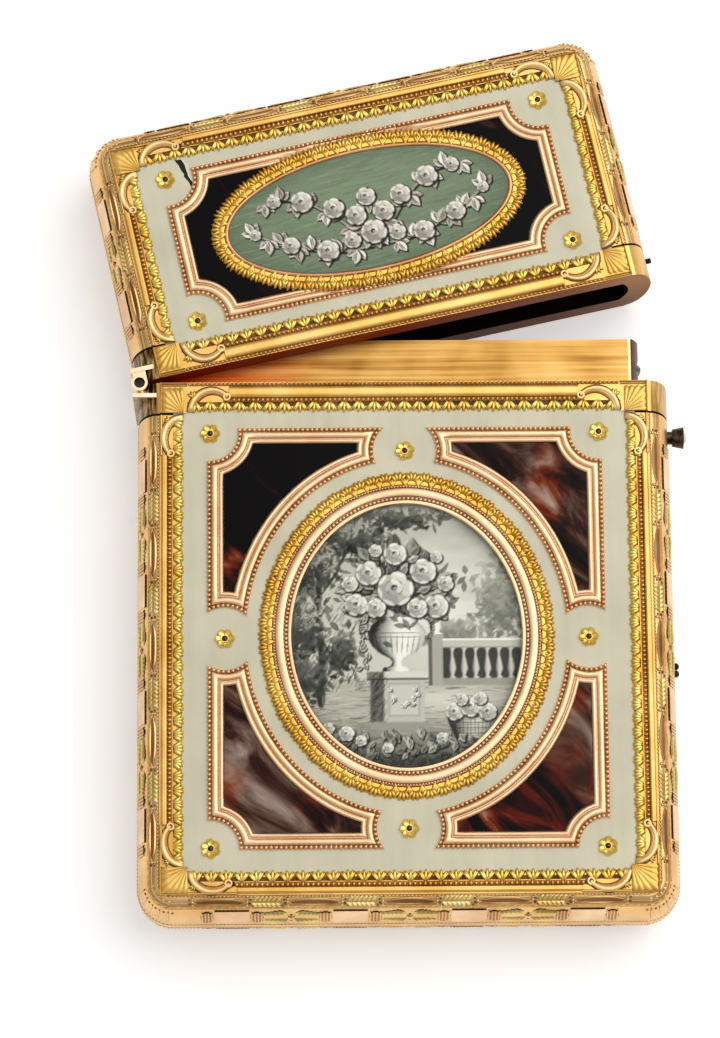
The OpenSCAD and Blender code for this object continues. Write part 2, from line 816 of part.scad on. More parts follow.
module base_front_spandrel_frames() { color("rosybrown") base_half() spandrel_frames(); }

module base_back_spandrel_frames() { color("rosybrown") base_half() back() spandrel_frames(); }

module base_front_spandrel_shells() { color("#2a120a") base_half() spandrel_shells(); }

module base_back_spandrel_shells() { color("#2a120a") base_half() back() spandrel_shells(); }

module base_front_oval_leaves() { color("gold") base_half() base_oval_leaves(); }

module base_back_oval_leaves() { color("gold") base_half() back() base_oval_leaves(); }

module base_front_oval_frame() { color("rosybrown") base_half() base_oval_frame(); }

module base_back_oval_frame() { color("rosybrown") base_half() back() base_oval_frame(); }

module base_front_plaque() { color("lightgray") base_half() base_plaque(); }

module base_back_plaque() { color("lightgray") base_half() back() base_plaque(); }

module base_glasses() { color("white", 0.3) base_half() both_faces() base_glass(); }

module base_rosettes() { color("gold") base_half() both_faces() base_face_rosettes(); }

module base_frame_pins() { color("dimgray") base_half() both_faces() pin_heads(base_h); }

module base_hinge_leaf() { color("gold") base_half() translate([hinge_x, hinge_y, 0]) hinge_leaf(1); }

module hinge_pin() {
  len = barrel_l - 2 * pin_recess;
  color("dimgray") base_half() translate([hinge_x, hinge_y, -len / 2]) cylinder(r = hinge_pin_r, h = len);
}

module side_stud() {
  color("dimgray") base_half() for (side = [-1, 1])
    translate([side_x, -stud_down + side * stud_r, 0]) rotate([0, 90, 0]) {
      cylinder(r = stud_r - eps, h = stud_out - stud_r / 2);
      translate([0, 0, stud_out - stud_r / 2]) cylinder(r1 = stud_r - eps, r2 = stud_r / 2, h = stud_r / 2);
    }
}

// Nodes of the lid

module lid_carcass() { color("saddlebrown") lid_half() carcass(lid_h, lid_slot_w, lid_slot_t); }

module lid_side_band() { color("darkgoldenrod") lid_half() side_band(lid_h); }

module lid_collar() {
  color("gold") lid_half() difference() {
    collar(lid_slot_w, lid_slot_t);
    translate([0, -nose_y - nose_h - nose_play, -spring_w / 2 - nose_play])
      cube([lid_slot_w / 2 + nose_out, nose_h + 2 * nose_play, spring_w + 2 * nose_play]);
    translate([0, -keeper_up, 0]) rotate([0, 90, 0]) cylinder(r = keeper_r, h = face_w);
  }
}

module lid_front_frame() { color("rosybrown") lid_half() frame(lid_h); }

module lid_back_frame() { color("rosybrown") lid_half() back() frame(lid_h); }

module lid_front_leaf_border() { color("gold") lid_half() leaf_border(lid_h); }

module lid_back_leaf_border() { color("gold") lid_half() back() leaf_border(lid_h); }

module lid_front_corner_mounts() { color("gold") lid_half() corner_mounts(lid_h); }

module lid_back_corner_mounts() { color("gold") lid_half() back() corner_mounts(lid_h); }

module lid_front_ivory() { color("ivory") lid_half() ivory_plate(lid_h); }

module lid_back_ivory() { color("ivory") lid_half() back() ivory_plate(lid_h); }

module lid_front_panel_frame() { color("rosybrown") lid_half() lid_panel_frame(); }

module lid_back_panel_frame() { color("rosybrown") lid_half() back() lid_panel_frame(); }

module lid_front_panel_shell() { color("#2a120a") lid_half() lid_panel_shell(); }

module lid_back_panel_shell() { color("#2a120a") lid_half() back() lid_panel_shell(); }

module lid_front_oval_leaves() { color("gold") lid_half() lid_oval_leaves(); }

module lid_back_oval_leaves() { color("gold") lid_half() back() lid_oval_leaves(); }

module lid_front_oval_rim() { color("rosybrown") lid_half() lid_oval_rim(); }

module lid_back_oval_rim() { color("rosybrown") lid_half() back() lid_oval_rim(); }

module lid_front_plaque() { color("#8fa08a") lid_half() lid_plaque(); }

module lid_back_plaque() { color("#8fa08a") lid_half() back() lid_plaque(); }

module lid_rosettes() { color("gold") lid_half() both_faces() lid_face_rosettes(); }

module lid_frame_pins() { color("dimgray") lid_half() both_faces() pin_heads(lid_h); }

module lid_hinge_leaf() {
  color("gold") lid_half() translate([hinge_x, mouth_gap - hinge_y, 0]) hinge_leaf(0);
}

module lid_keeper_pin() {
  inner = lid_slot_w / 2 + 2 * nose_out;
  color("dimgray") lid_half() translate([inner, -keeper_up, 0]) rotate([0, 90, 0])
    cylinder(r = keeper_r - eps, h = side_x + keeper_out - inner);
}

// Catch

module push_button() {
  tip_x = spring_x + spring_t + button_push_gap;
  stem_x = lining_w / 2 + button_travel + stem_gap;
  color("dimgray") base_half() translate([0, -button_down, 0]) rotate([0, 90, 0]) {
    translate([0, 0, tip_x]) cylinder(r = tip_r, h = stem_x - tip_x + eps);
    translate([0, 0, stem_x]) cylinder(r = stem_r, h = side_x + button_travel - stem_x);
    translate([0, 0, side_x + button_travel]) difference() {
      cylinder(r1 = button_r - collet_wall, r2 = button_r, h = button_out);
      translate([0, 0, button_out - stone_seat]) cylinder(r = button_r - collet_wall, h = button_out);
    }
  }
}

module push_button_stone() {
  r = button_r - collet_wall - eps;
  seat_x = side_x + button_travel + button_out - stone_seat;
  color("white") base_half() translate([seat_x, -button_down, 0]) rotate([0, 90, 0]) {
    cylinder(r = r, h = stone_seat);
    translate([0, 0, stone_seat]) cylinder(r1 = r, r2 = r - stone_t, h = stone_t);
  }
}

module catch_spring() {
  foot = rivet_y - 2 * rivet_r;
  top = nose_y + nose_h + spring_t;
  color("silver") base_half() difference() {
    translate([spring_x, 0, -spring_w / 2]) linear_extrude(spring_w) polygon([
      [0, foot], [spring_t, foot], [spring_t, nose_y], [spring_tip, nose_y],
      [spring_tip, nose_y + spring_t], [spring_t, nose_y + nose_h], [spring_t, top], [0, top]
    ]);
    translate([0, rivet_y, 0]) rotate([0, 90, 0]) cylinder(r = rivet_r + rivet_play, h = face_w);
  }
}

module catch_rivet() {
  head_t = 0.25;
  head_x = spring_x - rivet_play - head_t;
  color("dimgray") base_half() translate([head_x, rivet_y, 0]) rotate([0, 90, 0]) {
    cylinder(r = 2 * rivet_r, h = head_t);
    cylinder(r = rivet_r, h = lining_end_x - head_x - button_push_gap);
  }
}

// Contents

module memo_leaf() {
  w = leaf_right - leaf_left;
  len = leaf_up - leaf_foot;
  linear_extrude(leaf_t) difference() {
    union() {
      translate([leaf_left, leaf_foot]) square([w, len - leaf_corner]);
      translate([leaf_left + leaf_corner, leaf_foot]) square([w - 2 * leaf_corner, len]);
      for (x = [leaf_left + leaf_corner, leaf_right - leaf_corner])
        translate([x, leaf_up - leaf_corner]) circle(leaf_corner);
    }
    translate(leaf_hole) circle(leaf_rivet_r + eps);
  }
}

module memo_leaves() {
  color("ivory") base_half() for (i = [0:leaf_count - 1])
    translate([0, 0, leaves_z + i * (leaf_t + leaf_gap)]) memo_leaf();
}

module leaf_rivet() {
  len = leaf_count * leaf_t + (leaf_count - 1) * leaf_gap;
  color("silver") base_half() translate([leaf_hole[0], leaf_hole[1], leaves_z]) {
    cylinder(r = leaf_rivet_r, h = len);
    translate([0, 0, len]) cylinder(r1 = leaf_rivet_r + leaf_gap, r2 = leaf_rivet_r - leaf_gap, h = leaf_gap);
  }
}

module pencil() {
  len = leaf_up - leaf_foot;
  lead_r = 0.3;
  lead_l = 1.5;
  cone_l = 6;
  ring_l = 1;
  knob_l = 3;
  neck_r = pencil_r - 0.2;
  waist_r = pencil_r - 0.5;
  x = -lining_end_x + pencil_room / 2;
  color("silver") base_half()
    translate([x, leaf_foot, -lining_in_t / 2 + pencil_gap + pencil_r]) rotate([-90, 0, 0]) rotate_extrude()
      polygon([
        [0, 0], [lead_r, 0], [lead_r, lead_l], [waist_r, lead_l], [neck_r, cone_l],
        [pencil_r, cone_l], [pencil_r, cone_l + ring_l], [neck_r, cone_l + ring_l],
        [neck_r, len - knob_l - ring_l], [pencil_r, len - knob_l - ring_l], [pencil_r, len - knob_l],
        [waist_r, len - 0.8 * knob_l], [neck_r, len - 0.3 * knob_l], [waist_r, len], [0, len]
      ]);
}

base_carcass();
base_lining();
base_side_band();
base_collar();
base_front_frame();
base_back_frame();
base_front_leaf_border();
base_back_leaf_border();
base_front_corner_mounts();
base_back_corner_mounts();
base_front_ivory();
base_back_ivory();
base_front_spandrel_frames();
base_back_spandrel_frames();
base_front_spandrel_shells();
base_back_spandrel_shells();
base_front_oval_leaves();
base_back_oval_leaves();
base_front_oval_frame();
base_back_oval_frame();
base_front_plaque();
base_back_plaque();
base_glasses();
base_rosettes();
base_frame_pins();
base_hinge_leaf();
hinge_pin();
side_stud();
lid_carcass();
lid_side_band();
lid_collar();
lid_front_frame();
lid_back_frame();
lid_front_leaf_border();
lid_back_leaf_border();
lid_front_corner_mounts();
lid_back_corner_mounts();
lid_front_ivory();
lid_back_ivory();
lid_front_panel_frame();
lid_back_panel_frame();
lid_front_panel_shell();
lid_back_panel_shell();
lid_front_oval_leaves();
lid_back_oval_leaves();
lid_front_oval_rim();
lid_back_oval_rim();
lid_front_plaque();
lid_back_plaque();
lid_rosettes();
lid_frame_pins();
lid_hinge_leaf();
lid_keeper_pin();
push_button();
push_button_stone();
catch_spring();
catch_rivet();
memo_leaves();
leaf_rivet();
pencil();
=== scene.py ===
import math
import random

import bpy
import numpy as np
from mathutils import Matrix, Vector


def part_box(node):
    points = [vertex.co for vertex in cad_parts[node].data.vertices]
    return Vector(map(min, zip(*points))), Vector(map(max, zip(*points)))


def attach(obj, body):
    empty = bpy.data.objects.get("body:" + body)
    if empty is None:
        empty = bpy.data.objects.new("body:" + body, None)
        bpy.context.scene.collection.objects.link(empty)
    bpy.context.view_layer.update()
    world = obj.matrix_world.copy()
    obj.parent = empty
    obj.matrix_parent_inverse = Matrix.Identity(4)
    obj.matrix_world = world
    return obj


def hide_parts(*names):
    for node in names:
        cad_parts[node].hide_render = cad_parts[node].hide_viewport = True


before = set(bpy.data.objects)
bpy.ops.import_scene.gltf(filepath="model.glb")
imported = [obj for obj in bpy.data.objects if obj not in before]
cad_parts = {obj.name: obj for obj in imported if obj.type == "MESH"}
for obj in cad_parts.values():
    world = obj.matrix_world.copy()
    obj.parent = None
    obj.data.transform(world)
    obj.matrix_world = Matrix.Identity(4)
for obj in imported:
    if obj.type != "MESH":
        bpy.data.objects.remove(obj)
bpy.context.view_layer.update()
bpy.ops.object.select_all(action="DESELECT")
hand = random.Random(7)

# Sizes in millimetres, as in the part's source

MM = 0.001
HALF_W = 27.5
HEIGHT = {"base": 58.2, "lid": 27.5}
MIDDLE = {"base": 29.5, "lid": 14.15}
CREST_Z = 6.5
BEAD_Z = 6.2
IVORY_Z = 6.05
LID_LAYER_Z = 6.2
PLAQUE_Z = 5.4
SIDE_BULGE = 2.6
CORNER_IN = 1.4
SIDE_Z = 6.1
RAIL = 1.5
MOUTH_RAIL = 2.3
BORDER = 1.25
COLLAR = 3.55
FRAME_TOP = 3.8
BLOCK = 3.1
SCROLL = 4.7
ARM_END = 7.8
BEAD_CHANNEL = 0.45
SIDE_CHANNEL = 0.6
RAIL_LIP = 0.15
PIN_R = 0.27
VIEW_W = 24.75
VIEW_H = {"base": 25.95, "lid": 10.6}
ROSETTE_IN_X = 2.9
ROSETTE_IN_Y = {"base": 2.4, "lid": 2.0}
MIDDLE_IN = 4.5
NOTCH_R = 3.15
BITE_R = 3.55
SPANDREL_X = 22.2
SPANDREL_Y = {1: 24.15, -1: 23.7}
SPANDREL_OVAL = (17.9, 20.05)
LID_PANEL = (22.4, 9.35)
OVAL_UP = {"base": 0.3, "lid": 0.0}
OVAL_RING = {"base": (14.95, 17.1), "lid": (16.7, 7.3)}
OVAL_LEAF_W = {"base": 1.75, "lid": 1.9}
OVAL_LEAVES = {"base": 70, "lid": 60}
MOUTH_GAP = 0.1
HINGE = Vector((-29.8, 0.05, 0))
LID_OPEN = math.radians(12.4)
BUTTON_Y = -5.2

# Sizes of the ornament alone, in millimetres

MOUTH_BLOCK = (2.65, 3.05)
LEAF_ROOT = 0.15
END_LEAVES = 1.68
SIDE_LEAVES = 1.56
SCROLL_RISE = 0.38
WIDE_SCROLL = ((0.37, 0.1), (0.45, 0.75), (0.75, 1.37), (1.64, 2.26), (2.83, 2.58), (3.87, 2.25), (4.45, 1.8))
SLIM_SCROLL = ((0.35, 0.1), (0.42, 0.7), (0.71, 1.34), (1.56, 2.04), (2.84, 2.25), (3.97, 1.98), (4.5, 1.5))
ROW_CLEAR = 0.3
ROW_IN = 0.08
FRAME_BED = (0.02, 0.43)
FRAME_BEAD_IN = 0.21
FRAME_BEAD_R = 0.24
FRAME_BEAD_PITCH = 0.54
FLOOR_DROP = 0.13

# Finishes

def linear(code):
    """An sRGB hex colour as linear light."""
    parts = [int(code[i:i + 2], 16) / 255 for i in (1, 3, 5)]
    return tuple(c / 12.92 if c <= 0.04045 else ((c + 0.055) / 1.055) ** 2.4 for c in parts) + (1.0,)


def feed(node, inputs):
    """Gives a node's inputs their values and links. A node given as a value is linked by its main output."""
    for key, value in inputs.items():
        if isinstance(value, bpy.types.Node):
            value = value.outputs[2 if getattr(value, "data_type", None) == "RGBA" else 0]
        if isinstance(value, bpy.types.NodeSocket):
            node.id_data.links.new(value, node.inputs[key])
        else:
            node.inputs[key].default_value = value


def add(tree, kind, inputs=None, stops=(), **settings):
    """Adds one shader node with its settings, its inputs and the stops of its ramp.

    A Mix takes its share at input 0, two values at 2 and 3, and two colours at 6 and 7. A MapRange takes a
    value at 0, its range at 1 and 2, and the range of the result at 3 and 4.
    """
    node = tree.nodes.new("ShaderNode" + kind)
    for key, value in settings.items():
        setattr(node, key, value)
    feed(node, inputs or {})
    for i, (at, code) in enumerate(stops):
        elements = node.color_ramp.elements
        stop = elements[i] if i < 2 else elements.new(at)
        stop.position = at
        stop.color = linear(code)
    return node


def opened(material):
    """A material's tree, its shader and its object coordinates."""
    tree = material.node_tree
    return tree, tree.nodes["Principled BSDF"], tree.nodes["Texture Coordinate"].outputs["Object"]


def start(name, **sockets):
    """A new material, opened. The names of the shader's sockets have _ for a space."""
    material = bpy.data.materials.new(name)
    material.use_nodes = True
    add(material.node_tree, "TexCoord")
    feed(opened(material)[1], {key.replace("_", " "): value for key, value in sockets.items()})
    return material, *opened(material)


def gold(name, light, mid, grime_and_shade_tone, roughness, grain, depth, crevice):
    """Worked gold: two tones in soft patches, a dark tone laid into the recesses by ambient occlusion as
    grime and painted shade, and a fine unevenness.
    """
    material, tree, shader, at = start(name, Metallic=1.0)
    patches = add(tree, "TexNoise", {"Vector": at, "Scale": 1 / (4 * MM), "Detail": 4.0})
    tone = add(tree, "ValToRGB", {0: patches}, ((0.35, mid), (0.65, light)))
    # Grime and painted shade: ambient occlusion finds the recesses and darkens them to the dark tone.
    recess = add(tree, "AmbientOcclusion", {"Distance": crevice * MM}, samples=6)
    grime_and_shade_share = add(tree, "MapRange", {0: recess.outputs["AO"], 1: 0.15, 2: 0.7, 3: 1.0, 4: 0.0})
    colour = add(tree, "Mix", {0: grime_and_shade_share, 6: tone, 7: linear(grime_and_shade_tone)}, data_type="RGBA")
    wear = add(tree, "MapRange", {0: patches, 3: roughness * 0.7, 4: roughness * 1.3})
    tooling = add(tree, "TexNoise", {"Vector": at, "Scale": 1 / (grain * MM), "Detail": 2.0})
    bump = add(tree, "Bump", {"Strength": 0.6, "Distance": depth * MM, "Height": tooling})
    feed(shader, {"Base Color": colour, "Roughness": wear, "Normal": bump})
    return material


def chased_gold(name, light, mid, grime_and_shade_tone, roughness, pitch, depth):
    """Rolled gold sheet with fine engraved lines, drawn coarser than life so that they show."""
    material = gold(name, light, mid, grime_and_shade_tone, roughness, 0.5, 0.02, 0.35)
    tree, shader, at = opened(material)
    lines = add(tree, "TexWave", {"Vector": at, "Scale": 0.314 / (pitch * MM), "Distortion": 0.6,
                                  "Detail": 2.0}, bands_direction="Z")
    cut = add(tree, "Bump", {"Strength": 0.7, "Distance": depth * MM, "Height": lines.outputs["Fac"],
                             "Normal": tree.nodes["Bump"]})
    feed(shader, {"Normal": cut})
    return material


# Cast yellow gold of the leaf borders, burnished on its crests: bright lemon tops over recesses browned with
# grime and painted shade.
leaf_gold = gold("cast_yellow_gold", "#ffe184", "#f6c85a", "#4c2e08", 0.32, 0.35, 0.03, 0.36)
# Cast gold of the leaves round the ovals, a little duller than the straight borders.
oval_gold = gold("cast_dull_yellow_gold", "#f4c866", "#dca844", "#4c2e08", 0.34, 0.35, 0.03, 0.36)
# Polished rose gold of the drawn mouldings: pale pink highlights with thin brown lines of grime and painted
# shade beside them.
rose_gold = gold("drawn_rose_gold", "#ffd6ac", "#f2c092", "#5a2e10", 0.4, 0.6, 0.01, 0.25)
# Dull copper gold of the rim round the lid's picture, brown pink without a bright line.
copper_gold = gold("dull_copper_gold", "#dca676", "#c48858", "#5a2e10", 0.36, 0.6, 0.01, 0.25)
# Rolled gold of the rails, between the yellow and the rose gold in colour.
rail_gold = gold("rolled_rail_gold", "#eabc70", "#d6a252", "#442608", 0.32, 0.6, 0.012, 0.4)
# Pale pink gold of the C scrolls, smooth and round.
scroll_gold = gold("cast_pink_gold", "#ffdc9e", "#f2c482", "#5c3a10", 0.45, 0.5, 0.02, 0.35)
# Green gold of the laurel sprays on the sides, matt and a little dull.
spray_gold = gold("chased_green_gold", "#efd48a", "#d2b262", "#4a3610", 0.34, 0.3, 0.03, 0.35)
# Chased red gold of the sides: satin, with engraved lines that run round the case.
side_gold = chased_gold("chased_red_gold", "#f2c888", "#deae6c", "#5a3416", 0.32, 0.42, 0.03)
# Brown gold on the floors of the sunk panels, dull and in shade.
sunk_gold = gold("sunk_brown_gold", "#c08a5c", "#a06c44", "#3a1e0c", 0.4, 0.5, 0.02, 0.4)
# Pale pink gold of the dotted blocks, hammered to a soft shine.
block_gold = gold("planished_pink_gold", "#f4d0a6", "#dcb084", "#5a3618", 0.32, 0.4, 0.015, 0.3)
# Warm yellow gold of the fan blocks, paler than the leaves.
fan_gold = gold("cast_pale_gold", "#ecbe68", "#daa64e", "#4c300c", 0.4, 0.3, 0.03, 0.4)
# Yellow gold of the rosettes, with deep grime and painted shade between the petals.
rosette_gold = gold("struck_yellow_gold", "#ffe080", "#f4c65c", "#2e1c04", 0.3, 0.3, 0.015, 0.45)
# Tarnished gold of the beds under the beads, brown with dark dots, and darkened as painted shade in the gaps
# between the beads.
bed_gold_tarnished_and_shaded = gold("bed_gold_in_tarnishing_and_painted_shade", "#b47c3c", "#84521f", "#1c0c02", 0.45, 0.25, 0.02, 0.3)


def brushed_gold():
    """Brushed gold of the lining: streaks along the mouth, orange red as painted shade under the lid and near
    the hinge, a painted highlight along its right edge, and a brown right end.
    """
    material, tree, shader, at = start("brushed_orange_gold", Metallic=1.0)
    along = add(tree, "Mapping", {"Vector": at, "Scale": (26 * MM, 0.5 * MM, 26 * MM)}, vector_type="TEXTURE")
    streaks = add(tree, "TexNoise", {"Vector": along, "Scale": 1.0, "Detail": 4.0})
    clouds = add(tree, "TexNoise", {"Vector": at, "Scale": 1 / (8 * MM), "Detail": 3.0})
    both = add(tree, "Mix", {0: 0.4, 2: streaks, 3: clouds})
    tone = add(tree, "ValToRGB", {0: both}, ((0.34, "#7c4c1c"), (0.64, "#d8ae6c"), (0.48, "#b88a44")))
    # Painted shade: orange red where the lid covers the lining, found by ambient occlusion, and towards the
    # hinge.
    deep = add(tree, "AmbientOcclusion", {"Distance": 5 * MM}, samples=6)
    near = add(tree, "MapRange", {0: deep.outputs["AO"], 1: 0.1, 2: 0.5, 3: 1.0, 4: 0.0})
    x = add(tree, "SeparateXYZ", {0: at}).outputs["X"]
    hinged = add(tree, "MapRange", {0: x, 1: -25 * MM, 2: -10 * MM, 3: 1.0, 4: 0.0})
    red = add(tree, "Math", {0: near, 1: hinged}, operation="MAXIMUM")
    warm = add(tree, "Mix", {0: red, 6: tone, 7: linear("#c63c0a")}, data_type="RGBA")
    # Painted highlight: a pale line along the right edge.
    line = add(tree, "Math", {0: x, 1: 25.8 * MM, 2: 0.12 * MM}, operation="COMPARE")
    edged = add(tree, "Mix", {0: line, 6: warm, 7: linear("#f6dca8")}, data_type="RGBA")
    end = add(tree, "MapRange", {0: x, 1: 25.92 * MM, 2: 26.0 * MM})
    colour = add(tree, "Mix", {0: end, 6: edged, 7: linear("#4a2612")}, data_type="RGBA")
    wear = add(tree, "MapRange", {0: streaks, 3: 0.25, 4: 0.45})
    bump = add(tree, "Bump", {"Strength": 0.5, "Distance": 0.015 * MM, "Height": streaks})
    feed(shader, {"Base Color": colour, "Roughness": wear, "Normal": bump})
    return material


def engraving(tree, at, scale, stops):
    """Dark cuts drawn out along the case, for the engraved ends of a piece."""
    along = add(tree, "Mapping", {"Vector": at, "Scale": [s * MM for s in scale]}, vector_type="TEXTURE")
    lines = add(tree, "TexNoise", {"Vector": along, "Scale": 1.0, "Detail": 3.0})
    return add(tree, "ValToRGB", {0: lines}, stops)


def collar_gold_with_painted_shade(name, copper):
    """Rolled gold of a collar, engraved at its ends. Copper dulls and reddens the face at the mouth, where
    painted shade darkens it towards the hinge and the back; the inner faces are painted near black as shade.
    """
    material = gold(name, "#f0c276", "#dca856", "#442608", 0.32, 0.6, 0.012, 0.4)
    tree, shader, at = opened(material)
    tone = shader.inputs["Base Color"].links[0].from_node
    facing = add(tree, "SeparateXYZ", {0: tree.nodes["Texture Coordinate"].outputs["Normal"]}).outputs["Y"]
    x, _, z = add(tree, "SeparateXYZ", {0: at}).outputs
    cuts = engraving(tree, at, (0.5, 3, 0.35), ((0.42, "#3a2a14"), (0.66, "#e0bc80"), (0.52, "#80602c")))
    left = add(tree, "MapRange", {0: x, 1: -27.6 * MM, 2: -28.0 * MM})
    right = add(tree, "MapRange", {0: x, 1: 27.5 * MM, 2: 27.9 * MM, 4: 0.45})
    ends = add(tree, "Math", {0: left, 1: right}, operation="MAXIMUM")
    engraved = add(tree, "Mix", {0: ends, 6: tone, 7: cuts}, data_type="RGBA")
    # Painted shade on the face at the mouth: the reds darken towards the hinge, where the gap under the lid
    # closes, and towards the back.
    glow = add(tree, "MapRange", {0: x, 1: -24 * MM, 2: 26 * MM})
    reds = add(tree, "ValToRGB", {0: glow},
               ((0.0, "#80200a"), (1.0, "#c88c50"), (0.45, "#9c3c12"), (0.85, "#a86028")))
    shade = add(tree, "MapRange", {0: z, 1: 2.5 * MM, 2: 10 * MM, 3: 0.45, 4: 1.0})
    reds_in_painted_shade = add(tree, "Mix", {0: 1.0, 6: reds, 7: shade}, data_type="RGBA", blend_type="MULTIPLY")
    mouth = add(tree, "MapRange", {0: facing, 1: -0.9, 2: -0.96, 4: copper})
    faced = add(tree, "Mix", {0: mouth, 6: engraved, 7: reds_in_painted_shade}, data_type="RGBA")
    # Painted shade: the inner faces of the collar are laid near black and matt.
    within_x = add(tree, "Math", {0: x, 1: 0.0, 2: 26.8 * MM}, operation="COMPARE")
    within_z = add(tree, "Math", {0: z, 1: CREST_Z * MM, 2: 5 * MM}, operation="COMPARE")
    upright = add(tree, "Math", {0: facing, 1: 0.0, 2: 0.5}, operation="COMPARE")
    inside = add(tree, "Math", {0: within_x, 1: within_z}, operation="MULTIPLY")
    painted_shade_inside = add(tree, "Math", {0: inside, 1: upright}, operation="MULTIPLY")
    colour = add(tree, "Mix", {0: painted_shade_inside, 6: faced, 7: linear("#120804")}, data_type="RGBA")
    dull = add(tree, "Math", {0: painted_shade_inside, 1: mouth}, operation="MAXIMUM")
    metal = add(tree, "MapRange", {0: dull, 3: 1.0, 4: 0.0})
    gloss = add(tree, "MapRange", {0: dull, 3: 0.5, 4: 0.02})
    feed(shader, {"Base Color": colour, "Metallic": metal, "Specular IOR Level": gloss})
    return material


def leaf_of_hinge():
    """Pale polished gold of the hinge, dark and engraved below the base's bright band."""
    material = gold("polished_pale_gold", "#ffeacc", "#f6d4ac", "#5a3018", 0.26, 0.5, 0.015, 0.3)
    tree, shader, at = opened(material)
    tone = shader.inputs["Base Color"].links[0].from_node
    cuts = engraving(tree, at, (0.4, 2, 0.4), ((0.4, "#3a2a16"), (0.66, "#c8a468"), (0.52, "#6e5230")))
    y = add(tree, "SeparateXYZ", {0: at}).outputs["Y"]
    below = add(tree, "MapRange", {0: y, 1: -0.45 * MM, 2: -0.6 * MM})
    colour = add(tree, "Mix", {0: below, 6: tone, 7: cuts}, data_type="RGBA")
    feed(shader, {"Base Color": colour})
    return material


def tarnishing_and_shade_finish():
    """Old tarnishing and grime in the channels behind the beads, with painted shade where it lies in gaps and
    under edges: dark brown, dry and matt.
    """
    material, tree, shader, at = start("tarnishing_and_painted_shade_in_channels", Roughness=0.75)
    mottle = add(tree, "TexNoise", {"Vector": at, "Scale": 1 / (0.8 * MM), "Detail": 3.0})
    tone = add(tree, "ValToRGB", {0: mottle}, ((0.35, "#4a280c"), (0.7, "#8a5c28")))
    feed(shader, {"Base Color": tone})
    return material


def ivory(name, turn, light, dark):
    """Sawn and polished ivory: warm grey with long faint grain lines and a soft gloss."""
    material, tree, shader, at = start(name, Roughness=0.36, IOR=1.54)
    along = add(tree, "Mapping", {"Vector": at, "Rotation": (0, 0, turn),
                                  "Scale": (1.1 * MM, 22 * MM, 5 * MM)}, vector_type="TEXTURE")
    grain = add(tree, "TexNoise", {"Vector": along, "Scale": 1.0, "Detail": 4.0})
    clouds = add(tree, "TexNoise", {"Vector": at, "Scale": 1 / (7 * MM), "Detail": 3.0})
    both = add(tree, "Mix", {0: 0.65, 2: grain, 3: clouds})
    tone = add(tree, "ValToRGB", {0: both}, ((0.36, dark), (0.62, light)))
    bump = add(tree, "Bump", {"Strength": 0.2, "Distance": 0.01 * MM, "Height": grain})
    feed(shader, {"Base Color": tone, "Normal": bump})
    return material


def tortoiseshell():
    """Polished tortoiseshell: nearly black, with smoky streaks of red and mauve brown, and a few pale glints
    painted in as highlights.

    The panels are cut from different places of the shell: black on the lid and at the upper left,
    streaked at the upper right and mottled below.
    """
    material, tree, shader, at = start("polished_tortoiseshell", Roughness=0.3, IOR=1.55,
                                       Specular_IOR_Level=0.05)
    slant = add(tree, "Mapping", {"Vector": at, "Rotation": (0, 0, math.radians(-42)),
                                  "Scale": (10 * MM, 4 * MM, 9 * MM)}, vector_type="TEXTURE")
    smoke = add(tree, "TexNoise", {"Vector": slant, "Scale": 1.0, "Detail": 5.0, "Roughness": 0.55,
                                   "Distortion": 1.1})
    x, y, _ = add(tree, "SeparateXYZ", {0: at}).outputs
    right = add(tree, "MapRange", {0: x, 1: -6 * MM, 2: 6 * MM})
    lower = add(tree, "MapRange", {0: y, 1: -14 * MM, 2: -42 * MM})
    lid = add(tree, "MapRange", {0: y, 1: -2 * MM, 2: 4 * MM})
    fall = add(tree, "MapRange", {0: y, 1: -6 * MM, 2: -25 * MM, 3: -0.3, 4: -0.03})
    upper_row = add(tree, "Mix", {0: right, 2: fall, 3: 0.06})
    lower_row = add(tree, "MapRange", {0: right, 3: 0.05, 4: -0.06})
    rows = add(tree, "Mix", {0: lower, 2: upper_row, 3: lower_row})
    shift = add(tree, "Mix", {0: lid, 2: rows, 3: -0.2})
    depth = add(tree, "Math", {0: smoke, 1: shift}, operation="ADD")
    # Painted highlights: the palest stops of both ramps are glints laid into the colour.
    browns = add(tree, "ValToRGB", {0: depth},
                 ((0.36, "#050202"), (0.8, "#cfc0b6"), (0.44, "#1e0c08"), (0.5, "#3e2018"), (0.56, "#5e4438"),
                  (0.62, "#7c6458"), (0.68, "#988276")))
    reds = add(tree, "ValToRGB", {0: depth},
               ((0.36, "#050202"), (0.8, "#d8c4b8"), (0.43, "#2c0805"), (0.5, "#641a0a"), (0.56, "#7c3a1c"),
                (0.64, "#a07c6a")))
    patches = add(tree, "TexNoise", {"Vector": at, "Scale": 1 / (9 * MM), "Detail": 1.0})
    above = add(tree, "MapRange", {0: right, 3: 0.06, 4: -0.08})
    beneath = add(tree, "MapRange", {0: right, 3: -0.1, 4: 0.06})
    corner = add(tree, "Mix", {0: lower, 2: above, 3: beneath})
    warm = add(tree, "Math", {0: patches, 1: corner}, operation="ADD")
    reddened = add(tree, "MapRange", {0: warm, 1: 0.48, 2: 0.58})
    tone = add(tree, "Mix", {0: reddened, 6: browns, 7: reds}, data_type="RGBA")
    flakes = add(tree, "TexNoise", {"Vector": at, "Scale": 1 / (0.7 * MM), "Detail": 2.0})
    bump = add(tree, "Bump", {"Strength": 0.3, "Distance": 0.006 * MM, "Height": flakes})
    feed(shader, {"Base Color": tone, "Normal": bump})
    return material


